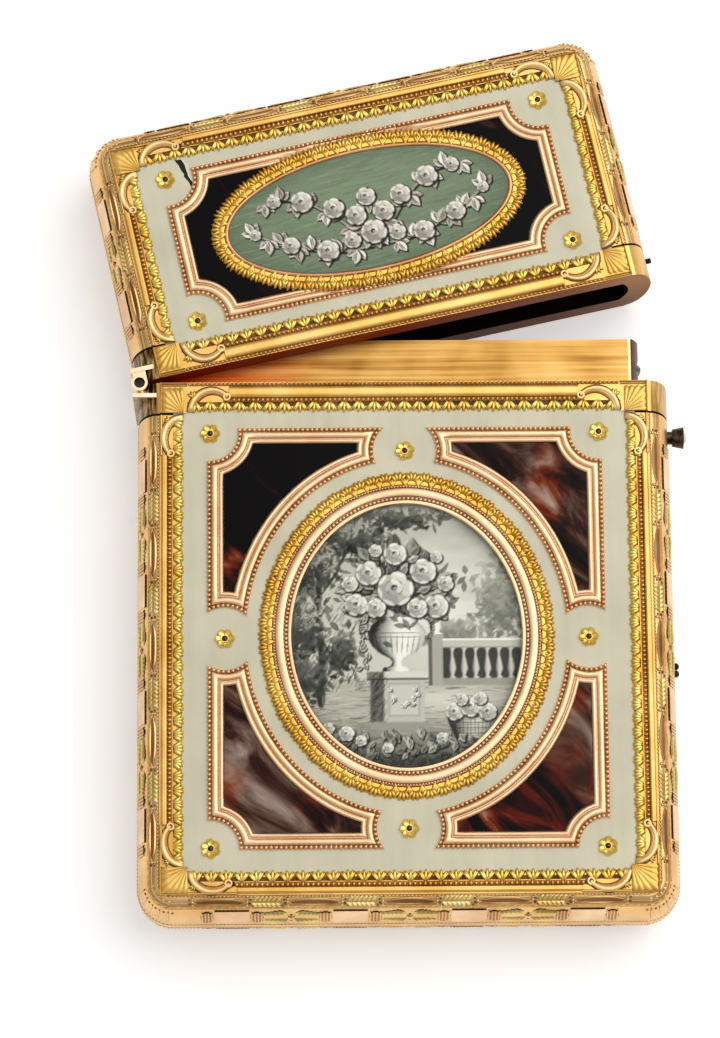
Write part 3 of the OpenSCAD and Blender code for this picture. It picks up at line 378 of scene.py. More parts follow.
def painted(name, roughness, coat, lift, depth):
    """Fine brushwork whose colours are laid on the piece's own points, with a slight tooth."""
    material, tree, shader, at = start(name, Roughness=roughness, Coat_Weight=coat, Specular_IOR_Level=0.1)
    paint = add(tree, "Attribute", attribute_name="Paint")
    fibre = add(tree, "TexNoise", {"Vector": at, "Scale": 1 / (0.35 * MM), "Detail": 3.0})
    # Painted light: lift raises the paint's colours above their own, against the shade they lie in; the fibre
    # gives a slight tooth.
    tooth_and_painted_light = add(tree, "MapRange", {0: fibre, 3: lift - 0.08, 4: lift + 0.08})
    tone = add(tree, "Mix", {0: 1.0, 6: paint, 7: tooth_and_painted_light}, data_type="RGBA", blend_type="MULTIPLY")
    deeper = add(tree, "Gamma", {"Color": tone, "Gamma": depth})
    bump = add(tree, "Bump", {"Strength": 0.2, "Distance": 0.01 * MM, "Height": fibre})
    feed(shader, {"Base Color": deeper, "Normal": bump})
    return material


def mottled(name, light, dark, size, metal, roughness, depth):
    """A plain worked material: two tones in patches of a given size, and a fine unevenness."""
    material, tree, shader, at = start(name, Metallic=metal)
    patches = add(tree, "TexNoise", {"Vector": at, "Scale": 1 / (size * MM), "Detail": 4.0})
    tone = add(tree, "ValToRGB", {0: patches}, ((0.35, dark), (0.65, light)))
    wear = add(tree, "MapRange", {0: patches, 3: roughness * 0.8, 4: roughness * 1.2})
    bump = add(tree, "Bump", {"Strength": 0.4, "Distance": depth * MM, "Height": patches})
    feed(shader, {"Base Color": tone, "Roughness": wear, "Normal": bump})
    return material


def cover_glass():
    """Thin flat crown glass over the painting: clear, with hardly any colour."""
    material, tree, shader, at = start("crown_cover_glass", Roughness=0.03, IOR=1.5, Alpha=0.07)
    haze = add(tree, "TexNoise", {"Vector": at, "Scale": 1 / (5 * MM), "Detail": 1.0})
    tone = add(tree, "ValToRGB", {0: haze}, ((0.3, "#1c2022"), (0.7, "#2c3032")))
    feed(shader, {"Base Color": tone})
    return material


lining_gold = brushed_gold()
base_collar_gold = collar_gold_with_painted_shade("rolled_collar_gold", 0.0)
lid_collar_gold = collar_gold_with_painted_shade("rolled_collar_gold_of_lid", 1.0)
tarnishing_and_shade = tarnishing_and_shade_finish()
face_ivory = {"base": ivory("sawn_ivory", 0.0, "#d9d2b4", "#cbc4a6"),
              "lid": ivory("sawn_ivory_of_lid", LID_OPEN, "#d9d3b6", "#cbc5a8")}
memo_ivory = ivory("thin_ivory_leaf", 0.0, "#efe6cc", "#dccfab")
# Old grime deep in the crack and painted shade in its depth, black and dry.
crack_grime_and_shade = mottled("crack_grime_and_shade", "#1a120c", "#080504", 0.5, 0.0, 0.8, 0.02)
# Fresh broken edge of the ivory, paler than its polished face.
broken_ivory = ivory("broken_ivory_edge", LID_OPEN, "#f2eed8", "#e2dcc0")
shell_finish = tortoiseshell()
base_paint = painted("grisaille_on_card", 0.6, 0.0, 1.46, 1.18)
lid_paint = painted("relief_painting_on_sage", 0.5, 0.03, 1.16, 1.25)
crown_glass = cover_glass()
# Blackened steel pins, dull grey black.
steel = mottled("blackened_steel", "#4a4642", "#1c1a18", 0.8, 1.0, 0.45, 0.02)
# Blued spring steel, cooler in colour and smoother.
spring_steel = mottled("blued_spring_steel", "#6a7078", "#3c434c", 2.0, 1.0, 0.3, 0.01)
# Tarnished silver of the button's collet, nearly black in its hollows.
silver = mottled("tarnished_silver", "#5e5248", "#1e1814", 0.7, 1.0, 0.35, 0.03)
hinge_gold = leaf_of_hinge()
# Walnut of the inner box, brown with a dull grain, seen only down the slot.
wood = mottled("walnut", "#5a3820", "#34200f", 1.5, 0.0, 0.6, 0.03)
# Walnut darkened nearly black as painted shade where it shows inside the lid: a shaded copy of the walnut.
walnut_in_painted_shade = mottled("walnut_darkened_as_painted_shade", "#1a0c06", "#0a0402", 1.5, 0.0, 0.7, 0.03)
# Pale cut stone of the button, glossy and clouded.
stone = mottled("pale_cut_stone", "#f2f0ec", "#cfc9c0", 0.9, 0.0, 0.08, 0.004)
# Garnet glass in the hearts of the rosettes, dark brown red.
garnet = mottled("dark_garnet", "#3a140c", "#140605", 0.4, 0.0, 0.12, 0.004)
# Bright gilt of the pencil holder, the smoothest of the golds.
pencil_gold = gold("gilt_pencil", "#f4cf7c", "#e0b055", "#4a2a0a", 0.22, 0.8, 0.01, 0.3)

# Shapes modelled once

def take(piece):
    """The points and faces of a draft, which is then cleared away."""
    points = np.array([v.co for v in piece.data.vertices])
    faces = [tuple(p.vertices) for p in piece.data.polygons]
    bpy.data.objects.remove(piece, do_unlink=True)
    return points, faces


def half_bead(segments, rings):
    """A bead of radius 1, cut a little under its middle."""
    bpy.ops.mesh.primitive_uv_sphere_add(segments=segments, ring_count=rings, radius=1)
    bpy.ops.object.mode_set(mode="EDIT")
    bpy.ops.mesh.select_all(action="SELECT")
    bpy.ops.mesh.bisect(plane_co=(0, 0, -0.3), plane_no=(0, 0, 1), clear_inner=True)
    bpy.ops.object.mode_set(mode="OBJECT")
    return take(bpy.context.object)


def wire_ring(radius, thick, around):
    """A ring of round wire that lies flat."""
    bpy.ops.mesh.primitive_torus_add(major_radius=radius, minor_radius=thick, major_segments=around,
                                     minor_segments=6)
    return take(bpy.context.object)


def relief(columns, rows, form):
    """A grid whose points a form places: it gets -1 to 1 across and 0 to 1 along, and gives x, y, z."""
    bpy.ops.mesh.primitive_grid_add(x_subdivisions=columns, y_subdivisions=rows, size=2)
    piece = bpy.context.object
    for v in piece.data.vertices:
        v.co = form(v.co.x, (1 - v.co.y) / 2)
    points, faces = take(piece)
    a, b, c = (points[i] for i in faces[len(faces) // 2][:3])
    if np.cross(b - a, c - a)[2] < 0:
        faces = [f[::-1] for f in faces]
    return points, faces


def palmette(turns, first, reach, width, rise):
    """A leaf of blunt fingers that spread at the given turns, from a first distance to its reach along -Y."""
    half = (reach - first) / 2
    fingers = [spot(0, 0, 0, turn) @ spot(0, -first - half, 0, 0, (width, half, rise)) @ spot(0, 0, 0, 18)
               for turn in turns]
    return stamp(FINGER, fingers)[:2]


def fan_shell():
    """A corner shell: shallow flutes that spread from the inner corner over a square block."""
    flutes = 7
    def form(u, v):
        turn = (u + 1) * math.pi / 4
        edge = BLOCK / max(math.cos(turn), math.sin(turn))
        wave = abs(math.sin(turn * 2 * flutes))
        reach = edge * (0.92 + 0.06 * wave) if v > 0.99 else edge * 0.95 * v
        height = 0.03 if v > 0.99 else 0.15 + 0.07 * wave * min(1, 0.2 + v) + 0.04 * v
        return reach * math.cos(turn), reach * math.sin(turn), height
    return relief(42, 7, form)


def pointed_leaf():
    """A laurel leaf of length 1 along +X with a raised midrib."""
    def form(u, v):
        wide = 0.24 * math.sin(math.pi * min(v, 0.999)) ** 0.8
        return v, u * wide, 0.13 * (1 - abs(u)) * math.sin(math.pi * v) + 0.02 * (1 - u * u)
    return relief(4, 6, form)


def lens_panel(rim):
    """A long panel with pointed ends, of half length and half width 1: its raised rim, or its floor alone."""
    def form(u, v):
        w = 2 * v - 1
        wide = max(0.02, 1 - abs(w) ** 3)
        if not rim:
            return w * 0.93, u * wide * 0.78, 0.3
        return w, u * wide, 1.0 if 0.6 < abs(u) < 0.99 and abs(w) < 0.95 else 0.0
    return relief(10 if rim else 2, 12, form)


def low_block():
    """A raised block of half length and half width 1 with sloping edges."""
    def form(u, v):
        w = 2 * v - 1
        edge = max(abs(u), abs(w))
        return u, w, 0.0 if edge > 0.99 else 1.0
    return relief(8, 8, form)


def c_scroll(route, spread, rise):
    """A C scroll along a route from the ivory's edge, a broad round stroke. Spread widens its outline."""
    stops = np.array(route)
    run = np.concatenate([[0], np.cumsum(np.hypot(*np.diff(stops, axis=0).T))])
    along_x, along_y = (np.poly1d(np.polyfit(run / run[-1], stops[:, k], 4)) for k in (0, 1))
    across = (-1.0, -0.8, -0.6, -0.4, -0.2, 0.0, 0.2, 0.4, 0.6, 0.8, 1.0)
    section = (0.0, 0.7, 0.86, 0.7, 0.88, 0.97, 1.0, 0.99, 0.94, 0.78, 0.0)
    def form(u, v):
        dx = along_x.deriv()(v)
        dy = along_y.deriv()(v)
        wide = (0.34 + 0.12 * math.sin(math.pi * min(1, 0.1 + v)) + spread) / math.hypot(dx, dy)
        height = rise * float(np.interp(u, across, section)) * (0.0 if v < 0.01 else min(1, 0.6 + 2 * v))
        return along_x(v) - dy * wide * u, along_y(v) + dx * wide * u, height
    return relief(10, 20, form)


BEAD = half_bead(8, 6)
SMALL_BEAD = half_bead(8, 5)
FINGER = half_bead(10, 6)
LAUREL = pointed_leaf()
LENS_RIM = lens_panel(True)
LENS_FLOOR = lens_panel(False)
SLAB = low_block()
FAN = fan_shell()

# Assembling pieces

def spot(x, y, z, turn=0.0, size=1.0):
    """A place on a face: turned about the face's normal, in degrees."""
    grow = Matrix.Diagonal((*size, 1)) if isinstance(size, tuple) else Matrix.Scale(size, 4)
    return Matrix.Translation((x, y, z)) @ Matrix.Rotation(math.radians(turn), 4, "Z") @ grow


def stamp(shape, places, finish=0):
    """Copies of a shape at the places, as one part of a piece with one of its finishes."""
    points, faces = shape
    every = []
    laid = []
    for i, place in enumerate(places):
        m = np.array(place)
        every.append(points @ m[:3, :3].T + m[:3, 3])
        turned = np.linalg.det(m[:3, :3]) < 0
        laid += [tuple(k + i * len(points) for k in (f[::-1] if turned else f)) for f in faces]
    return np.concatenate(every) if every else np.zeros((0, 3)), laid, finish


def loft(rings, finish=0):
    """A moulding skinned over rings of equal count, each a closed line of points."""
    count = len(rings[0])
    faces = []
    for k in range(len(rings) - 1):
        for i in range(count):
            j = (i + 1) % count
            faces.append((k * count + i, k * count + j, (k + 1) * count + j, (k + 1) * count + i))
    return np.concatenate([np.array(r) for r in rings]), faces, finish


def rod(x0, y0, x1, y1, width, z, rise, finish=0):
    """A low rounded strip along a line, closed at its ends."""
    run = Vector((x1 - x0, y1 - y0))
    side = Vector((-run.y, run.x)).normalized() * width / 2
    rings = []
    for share, lift in ((0.0, 0.0), (0.002, 1.0), (0.998, 1.0), (1.0, 0.0)):
        at = Vector((x0, y0)) + run * share
        rings.append([(at.x + side.x * a, at.y + side.y * a, z + rise * lift * math.sqrt(1 - a * a))
                      for a in (1.0, 0.8, 0.4, 0.0, -0.4, -0.8, -1.0)])
    count = len(rings[0])
    faces = [(k * count + i, k * count + i + 1, (k + 1) * count + i + 1, (k + 1) * count + i)
             for k in range(3) for i in range(count - 1)]
    points = np.array(sum(rings, []))
    a, b, c = (points[i] for i in faces[count + 1][:3])
    if np.cross(b - a, c - a)[2] < 0:
        faces = [f[::-1] for f in faces]
    return points, faces, finish


def bar(x0, y0, x1, y1, z, finish=0):
    """A thin flat strip between two corners, facing up."""
    x0, x1 = sorted((x0, x1))
    y0, y1 = sorted((y0, y1))
    return np.array([(x0, y0, z), (x1, y0, z), (x1, y1, z), (x0, y1, z)], float), [(0, 1, 2, 3)], finish


def place_matrix(half, back):
    """From a half's own millimetres to the shared frame in metres."""
    m = Matrix.Scale(MM, 4) @ Matrix.Translation((0, MOUTH_RAIL / 2, CREST_Z))
    if half == "lid":
        m = m @ Matrix.Translation(HINGE) @ Matrix.Rotation(LID_OPEN, 4, "Z") @ Matrix.Translation(-HINGE)
        m = m @ Matrix.Translation((0, MOUTH_GAP, 0)) @ Matrix.Scale(-1, 4, (0, 1, 0))
    if back:
        m = m @ Matrix.Scale(-1, 4, (0, 0, 1))
    return m


def settle(name, parts, finishes, half, nodes=(), back=False, body=None, angle=40):
    """Makes a finished piece from its parts, in its place."""
    points = []
    faces = []
    marks = []
    total = 0
    for part_points, part_faces, finish in parts:
        points.append(part_points)
        faces += [tuple(k + total for k in f) for f in part_faces]
        marks += [finish] * len(part_faces)
        total += len(part_points)
    mesh = bpy.data.meshes.new(name)
    mesh.from_pydata(np.concatenate(points), [], faces)
    mesh.polygons.foreach_set("material_index", marks)
    for finish in finishes:
        mesh.materials.append(finish)
    m = place_matrix(half, back)
    mesh.transform(m)
    if m.determinant() < 0:
        mesh.flip_normals()
    piece = bpy.data.objects.new(name, mesh)
    bpy.context.collection.objects.link(piece)
    bpy.ops.object.select_all(action="DESELECT")
    piece.select_set(True)
    bpy.context.view_layer.objects.active = piece
    bpy.ops.object.shade_smooth_by_angle(angle=math.radians(angle))
    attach(piece, body or half)
    if nodes:
        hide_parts(*nodes)
    return piece


def both_faces(name, parts, finishes, half, node=None):
    """The same piece on the front and on the back."""
    for side in ("front", "back"):
        nodes = (f"{half}_{side}_{node}",) if node else ()
        settle(f"{half}_{side}_{name}", parts, finishes, half, nodes, back=side == "back")


def evenly(line, pitch):
    """Points at an even pitch along an open line, from its first point to its last."""
    line = np.array(line, float)
    steps = np.hypot(*(line[1:, :2] - line[:-1, :2]).T)
    run = np.concatenate([[0], np.cumsum(steps)])
    at = np.linspace(0, run[-1], max(2, round(run[-1] / pitch) + 1))
    return np.stack([np.interp(at, run, line[:, 0]), np.interp(at, run, line[:, 1])], 1)


# Leaf borders, corner castings and bead rows

def leaf_row(x0, y0, x1, y1, turn, shape, pitch):
    """Leaf tips along a line, each a little different from the last as castings are."""
    length = math.hypot(x1 - x0, y1 - y0)
    count = round(length / pitch)
    places = []
    for i in range(count):
        share = (i + 0.5) / count
        wide = hand.uniform(0.95, 1.05) * length / count / pitch
        lean = turn + hand.uniform(-5, 5)
        size = (wide, hand.uniform(0.96, 1.03), 1)
        places.append(spot(x0 + (x1 - x0) * share, y0 + (y1 - y0) * share, IVORY_Z, lean, size))
    return stamp(shape, places)


def leaf_border(half):
    """Rows of leaf tips on the four sides, on a brown ground, tarnished and darkened as painted shade, that
    shows between the roots at the mouth.
    """
    h = HEIGHT[half]
    edge = HALF_W - BLOCK
    inner = HALF_W - RAIL
    low = -h + BLOCK
    mouth = -MOUTH_RAIL + LEAF_ROOT
    far = -h + RAIL - LEAF_ROOT
    side = inner + LEAF_ROOT
    reach = BORDER + LEAF_ROOT
    open_leaf = palmette((-37, -27, 0, 27, 37), 0.0, reach * 1.06, 0.24, 0.36)
    full_leaf = palmette((-34, -12, 11, 32), 0.12, reach, 0.3, 0.36)
    parts = [leaf_row(-edge, mouth, edge, mouth, 0, open_leaf, END_LEAVES),
             leaf_row(edge, far, -edge, far, 180, open_leaf, END_LEAVES),
             leaf_row(side, -FRAME_TOP, side, low, -90, full_leaf, SIDE_LEAVES),
             leaf_row(-side, low, -side, -FRAME_TOP, 90, full_leaf, SIDE_LEAVES)]
    for wide, rise, ends, sides in ((0.9, 0.012, 0, 0), (0.5, 0.02, 1, 2)):
        ground = IVORY_Z + rise
        parts += [bar(-edge, -MOUTH_RAIL - wide, edge, -MOUTH_RAIL, ground, ends),
                  bar(-edge, -h + RAIL, edge, -h + RAIL + wide, ground, ends),
                  bar(inner - wide, low, inner, -FRAME_TOP, ground, sides),
                  bar(-inner, low, -inner + wide, -FRAME_TOP, ground, sides)]
    both_faces("leaf_tips", parts, [leaf_gold, tarnishing_and_shade, oval_gold], half, "leaf_border")


def corner_castings(half):
    """Fan blocks at the corners, and C scrolls with round ends along the arms beside them, with painted shade
    under their edges.
    """
    h = HEIGHT[half]
    arm = RAIL + BORDER
    edge = HALF_W - BLOCK
    volute = wire_ring(0.34, 0.17, 14)
    frond = palmette((-30, 0, 30), 0.0, 0.95, 0.17, 0.26)
    fans = []
    wide = []
    slim = []
    for sx in (1, -1):
        flip = Matrix.Diagonal((sx, 1, 1, 1))
        fans += [flip @ spot(HALF_W - MOUTH_BLOCK[0], -COLLAR, BEAD_Z, 0,
                             (MOUTH_BLOCK[0] / BLOCK, MOUTH_BLOCK[1] / BLOCK, 1)),
                 flip @ spot(edge, -h + BLOCK, BEAD_Z, 0, (1, -1, 1))]
        wide.append(flip @ spot(edge, -COLLAR, BEAD_Z, 0, (-1, 1, 1)))
        slim += [flip @ spot(edge, -h + arm, BEAD_Z, 0, (-1, -1, 1)),
                 flip @ spot(HALF_W - arm, -h + BLOCK, BEAD_Z, 90, (1, -1, 1)),
                 flip @ spot(HALF_W - arm, -FRAME_TOP, BEAD_Z, -90, (1, 1, 1))]
    ends = [p @ spot(*WIDE_SCROLL[-1], 0) for p in wide] + [p @ spot(*SLIM_SCROLL[-1], 0) for p in slim]
    fronds = [p @ spot(0.75, 1.7, 0, 205, (1, 1, 1)) for p in wide]
    fronds += [p @ spot(0.7, 1.6, 0, 205, (0.8, 0.8, 1)) for p in slim]
    # Painted shade: flat dark outlines under the scrolls, and flat dark discs under the volutes.
    outline = spot(0, 0, 0.014)
    parts = [stamp(FAN, fans), stamp(c_scroll(WIDE_SCROLL, 0.0, SCROLL_RISE), wide, 1),
             stamp(c_scroll(SLIM_SCROLL, 0.0, SCROLL_RISE), slim, 1),
             stamp(c_scroll(WIDE_SCROLL, 0.1, 0.0), [outline @ p for p in wide], 2),
             stamp(c_scroll(SLIM_SCROLL, 0.1, 0.0), [outline @ p for p in slim], 2),
             stamp(volute, [e @ spot(0, 0, SCROLL_RISE * 0.45, 0, (1, 1, 1.3)) for e in ends], 1),
             stamp(BEAD, [e @ spot(0, 0, 0.08, 0, (0.19, 0.19, 0.3)) for e in ends], 1),
             stamp(BEAD, [e @ spot(0, 0, 0.02, 0, (0.56, 0.56, 0.05)) for e in ends], 2),
             stamp(frond, fronds, 4)]
    lip = HALF_W - RAIL_LIP / 2 - 0.1
    rim = HALF_W - 0.12
    rods = ((lip, -h + BLOCK, lip, -h + ARM_END, 0.32, 0.2),
            (lip, -FRAME_TOP, lip, -FRAME_TOP - SCROLL, 0.32, 0.2),
            (edge, -h + 0.18, HALF_W - ARM_END - 3 * PIN_R, -h + 0.18, 0.32, 0.2),
            (rim, -h, rim, -h + BLOCK, 0.22, 0.22), (edge, -h + 0.12, HALF_W, -h + 0.12, 0.22, 0.22),
            (rim, -COLLAR, rim, 0, 0.22, 0.22), (edge, -0.14, HALF_W, -0.14, 0.2, 0.2),
            (edge, -0.4, HALF_W, -0.4, 0.16, 0.15))
    ground = BEAD_Z + 0.01
    for sx in (1, -1):
        parts += [rod(sx * x0, y0, sx * x1, y1, width, BEAD_Z, rise, 3)
                  for x0, y0, x1, y1, width, rise in rods]
        parts += [bar(sx * edge, -COLLAR, sx * HALF_W, 0, ground, 3),
                  bar(sx * edge, -h, sx * HALF_W, -h + BLOCK, ground, 5)]
    finishes = [fan_gold, scroll_gold, tarnishing_and_shade, rail_gold, leaf_gold, bed_gold_tarnished_and_shaded]
    both_faces("corner_castings", parts, finishes, half, "corner_mounts")


def bead_row(line, pitch, radius, z, wide=1.0):
    """Beads along a line on a face, with a little unevenness. Wide beads reach across the line."""
    line = evenly(line, pitch)
    turn = math.degrees(math.atan2(*(line[1] - line[0])[::-1]))
    places = []
    for x, y in line:
        size = radius * hand.uniform(0.92, 1.06)
        places.append(spot(x, y, z, turn if wide > 1 else hand.uniform(0, 360), (size, size * wide, size)))
    return stamp(BEAD, places)


def rail_beads(half):
    """Bead rows beside the rails' crests, each on a brown bed, tarnished and darkened as painted shade."""
    h = HEIGHT[half]
    edge = HALF_W - ARM_END
    outer = HALF_W - BLOCK - 0.25
    channel = BEAD_CHANNEL / 2
    side = SIDE_CHANNEL / 2
    z = BEAD_Z + 0.03
    x = HALF_W - RAIL + side + ROW_IN
    top = -FRAME_TOP - SCROLL - ROW_CLEAR
    low = -h + ARM_END + ROW_CLEAR
    far = edge - 2 * PIN_R - ROW_CLEAR / 2
    y_inner = -MOUTH_RAIL + channel
    y_far = -h + RAIL - side - ROW_IN
    parts = [bead_row([(-outer, -channel), (outer, -channel)], 0.5, 0.2, z),
             bead_row([(-edge, y_inner), (edge, y_inner)], 0.54, 0.23, z),
             bead_row([(-far, y_far), (far, y_far)], 0.56, 0.24, z, 1.15),
             bead_row([(x, top), (x, low)], 0.5, 0.21, z, 1.25),
             bead_row([(-x, top), (-x, low)], 0.5, 0.21, z, 1.25)]
    ground = BEAD_Z + 0.008
    parts += [bar(-outer, -2 * channel, outer, -ROW_IN, ground, 1),
              bar(-edge, y_inner - channel, edge, y_inner + channel, ground, 1),
              bar(-far, y_far - side, far, y_far + side, ground, 1),
              bar(x - side, low, x + side, top, ground, 1),
              bar(-x - side, low, -x + side, top, ground, 1)]
    both_faces("rail_beads", parts, [rail_gold, bed_gold_tarnished_and_shaded], half)


# Oval frames

def ring(half, inset, z, count=180):
    """A closed line of points round a half's oval frame, drawn in by an inset."""
    a, b = OVAL_RING[half]
    y0 = OVAL_UP[half] - MIDDLE[half]
    turns = [2 * math.pi * i / count for i in range(count)]
    return [((a - inset) * math.cos(t), y0 + (b - inset) * math.sin(t), z) for t in turns]


def oval_leaves(half):
    """A plain band round the oval whose outer edge is crimped into broad acanthus tips."""
    a, b = OVAL_RING[half]
    w = OVAL_LEAF_W[half]
    z = IVORY_Z if half == "base" else LID_LAYER_Z
    band = 0.1
    loop = ring(half, -band, 0, 720)
    line = evenly(loop + loop[:1], 0.02)
    last = len(line) - 1
    count = OVAL_LEAVES[half]
    length = 2 * math.pi * math.sqrt(((a + band) ** 2 + (b + band) ** 2) / 2)
    tip = length / count * 0.54
    shape = palmette((-33, -11, 11, 31), w * 0.2, w - band, tip * 0.38, 0.42)
    fold = palmette((-26, 4, 30), -w * 0.3, w * 0.6, tip * 0.36, 0.36)
    places = []
    folds = []
    for i in range(count):
        k = int(i / count * last)
        x, y = line[k]
        y_in = y + MIDDLE[half] - OVAL_UP[half]
        turn = math.degrees(math.atan2(y_in / (b + band) ** 2, x / (a + band) ** 2)) + 90
        stretch = (hand.uniform(0.95, 1.05), hand.uniform(0.9, 1.0), 1)
        places.append(spot(x, y, z, turn + hand.uniform(-5, 5), stretch))
        x, y = line[min(k + last // (2 * count), last)]
        lean = turn + hand.uniform(-9, 9)
        folds.append(spot(x, y, z, lean, (1, hand.uniform(0.85, 1.05), hand.uniform(0.85, 1.1))))
    profile = ((-w * 0.8, 0.008), (-w * 0.6, 0.1), (-0.35, 0.2), (-0.12, 0.18), (0, 0.06), (0, 0))
    parts = [stamp(shape, places), stamp(fold, folds), loft([ring(half, d, z + lift) for d, lift in profile])]
    both_faces("oval_leaf_tips", parts, [oval_gold], half, "oval_leaves")


def oval_moulding():
    """The base's oval frame from its leaves inwards: fine beads, a broad round, a bead row and a lip."""
    profile = ((0.0, 0.0), (0.0, 0.2), (0.26, 0.2), (0.29, 0.15), (0.32, 0.3), (0.4, 0.36), (0.6, 0.4),
               (0.85, 0.41), (1.1, 0.38), (1.2, 0.32), (1.25, 0.15), (1.28, 0.14), (1.7, 0.14), (1.73, 0.24),
               (1.85, 0.27), (2.05, 0.24), (2.13, 0.1), (2.15, -0.03))
    parts = [loft([ring("base", d, IVORY_Z + z) for d, z in profile])]
    for d, pitch, radius, z in ((0.14, 0.34, 0.155, 0.22), (1.49, 0.48, 0.23, 0.17)):
        parts.append(bead_row(ring("base", d, 0, 360), pitch, radius, IVORY_Z + z))
    # Brown beds under the two bead rows, tarnished and darkened as painted shade.
    for z, edges in ((0.147, (1.3, 1.72)), (0.207, (0.03, 0.29))):
        parts.append(loft([ring("base", d, IVORY_Z + z) for d in edges], 1))
    both_faces("oval_moulding", parts, [rose_gold, bed_gold_tarnished_and_shaded], "base", "oval_frame")


def lid_rim():
    """The lid's oval rim, a plain half round inside the leaves."""
    profile = ((-0.06, 0.0), (-0.04, 0.2), (0.06, 0.28), (0.2, 0.3), (0.34, 0.26), (0.45, 0.12), (0.47, 0.02))
    parts = [loft([ring("lid", d, LID_LAYER_Z + z) for d, z in profile])]
    both_faces("oval_moulding", parts, [copper_gold], "lid", "oval_rim")


# Notched panel frames

FRAME_PROFILE = ((0.0, 0.0), (0.0, 0.15), (0.43, 0.15), (0.46, 0.24), (0.56, 0.34), (0.72, 0.4), (0.9, 0.4),
                 (1.08, 0.34), (1.2, 0.24), (1.24, 0.13), (1.33, 0.13), (1.37, 0.25), (1.5, 0.32),
                 (1.64, 0.3), (1.78, 0.2), (1.85, 0.02))
SAMPLES = 14


def arc(cx, cy, r, first, last, count):
    """Points along an arc, without its last."""
    turns = [first + (last - first) * i / count for i in range(count)]
    return [(cx + r * math.cos(t), cy + r * math.sin(t)) for t in turns]


def straight(p, q, count):
    """Points along a straight edge, without its last."""
    return [(p[0] + (q[0] - p[0]) * i / count, p[1] + (q[1] - p[1]) * i / count) for i in range(count)]


def crossing(point, inside, low, high):
    """The parameter between low and high at which the point goes inside."""
    for _ in range(50):
        mid = (low + high) / 2
        if inside(*point(mid)):
            high = mid
        else:
            low = mid
    return low


def spandrel_curves(inset, row):
    """The six edges of a right spandrel of the upper (1) or lower (-1) row, drawn in by inset."""
    up = row * OVAL_UP["base"]
    x = SPANDREL_X - inset
    y = SPANDREL_Y[row] - inset
    a, b = (s + inset for s in SPANDREL_OVAL)
    notch = (VIEW_W - ROSETTE_IN_X, VIEW_H["base"] - ROSETTE_IN_Y["base"], NOTCH_R + inset)
    side = (VIEW_W - MIDDLE_IN, 0.0, BITE_R + inset)
    top = (0.0, VIEW_H["base"] - MIDDLE_IN, BITE_R + inset)
    def on(circle):
        return lambda t: (circle[0] + circle[2] * math.cos(t), circle[1] + circle[2] * math.sin(t))
    def in_oval(px, py):
        return (px / a) ** 2 + ((py - up) / b) ** 2 < 1
    top_a = math.asin((y - top[1]) / top[2])
    top_f = crossing(on(top), in_oval, top_a, -math.pi / 2)
    side_d = math.acos((x - side[0]) / side[2])
    side_e = crossing(on(side), in_oval, side_d, math.pi)
    notch_b = math.pi + math.asin((notch[1] - y) / notch[2])
    notch_c = math.pi + math.acos((notch[0] - x) / notch[2])
    corner_a = on(top)(top_a)
    corner_b = on(notch)(notch_b)
    corner_c = on(notch)(notch_c)
    corner_d = on(side)(side_d)
    corner_e = on(side)(side_e)
    corner_f = on(top)(top_f)
    e_turn = math.atan2((corner_e[1] - up) / b, corner_e[0] / a)
    f_turn = math.atan2((corner_f[1] - up) / b, corner_f[0] / a)
    n = 2 * SAMPLES
    turns = [e_turn + (f_turn - e_turn) * i / n for i in range(n)]
    curve = [(a * math.cos(t), up + b * math.sin(t)) for t in turns]
    return [straight(corner_a, corner_b, SAMPLES), arc(*notch, notch_b, notch_c, SAMPLES),
            straight(corner_c, corner_d, SAMPLES), arc(*side, side_d, side_e, SAMPLES), curve,
            arc(*top, top_f, top_a, SAMPLES)]


def lid_panel_curves(inset):
    """The eight edges of the lid's panel about the lid's centre."""
    x, y = (s - inset for s in LID_PANEL)
    cx = VIEW_W - ROSETTE_IN_X
    cy = VIEW_H["lid"] - ROSETTE_IN_Y["lid"]
    r = NOTCH_R + inset
    first = math.pi + math.asin((cy - y) / r)
    last = math.pi + math.acos((cx - x) / r)
    notch = arc(cx, cy, r, first, last, SAMPLES)
    end = (cx + r * math.cos(last), cy + r * math.sin(last))
    corner = notch + [end]
    lower = [(px, -py) for px, py in corner[::-1]]
    left = [(-px, -py) for px, py in corner]
    upper = [(-px, py) for px, py in corner[::-1]]
    curves = []
    for run, nxt in ((corner, lower), (lower, left), (left, upper), (upper, corner)):
        curves += [run[:-1], straight(run[-1], nxt[0], 2 * SAMPLES)]
    return curves


def panel_frame(curves_at, y0, flip):
    """One moulded frame with its bead row and the dark bed under the beads, tarnished and darkened as painted
    shade.
    """
    def lift(inset, z):
        points = [p for curve in curves_at(inset) for p in curve]
        return [(px * flip[0], y0 + py * flip[1], IVORY_Z + z) for px, py in points]
    order = -flip[0] * flip[1]
    rings = [lift(d, z) for d, z in FRAME_PROFILE]
    bed = [lift(d, 0.157) for d in FRAME_BED]
    parts = [loft(rings[::order]), loft(bed[::order], 1)]
    curves = curves_at(FRAME_BEAD_IN)
    for curve, nxt in zip(curves, curves[1:] + curves[:1]):
        line = [(px * flip[0], y0 + py * flip[1]) for px, py in curve + nxt[:1]]
        places = [spot(px, py, IVORY_Z + 0.17, hand.uniform(0, 360), FRAME_BEAD_R * hand.uniform(0.94, 1.04))
                  for px, py in evenly(line, FRAME_BEAD_PITCH)[:-1]]
        parts.append(stamp(BEAD, places))
    return parts


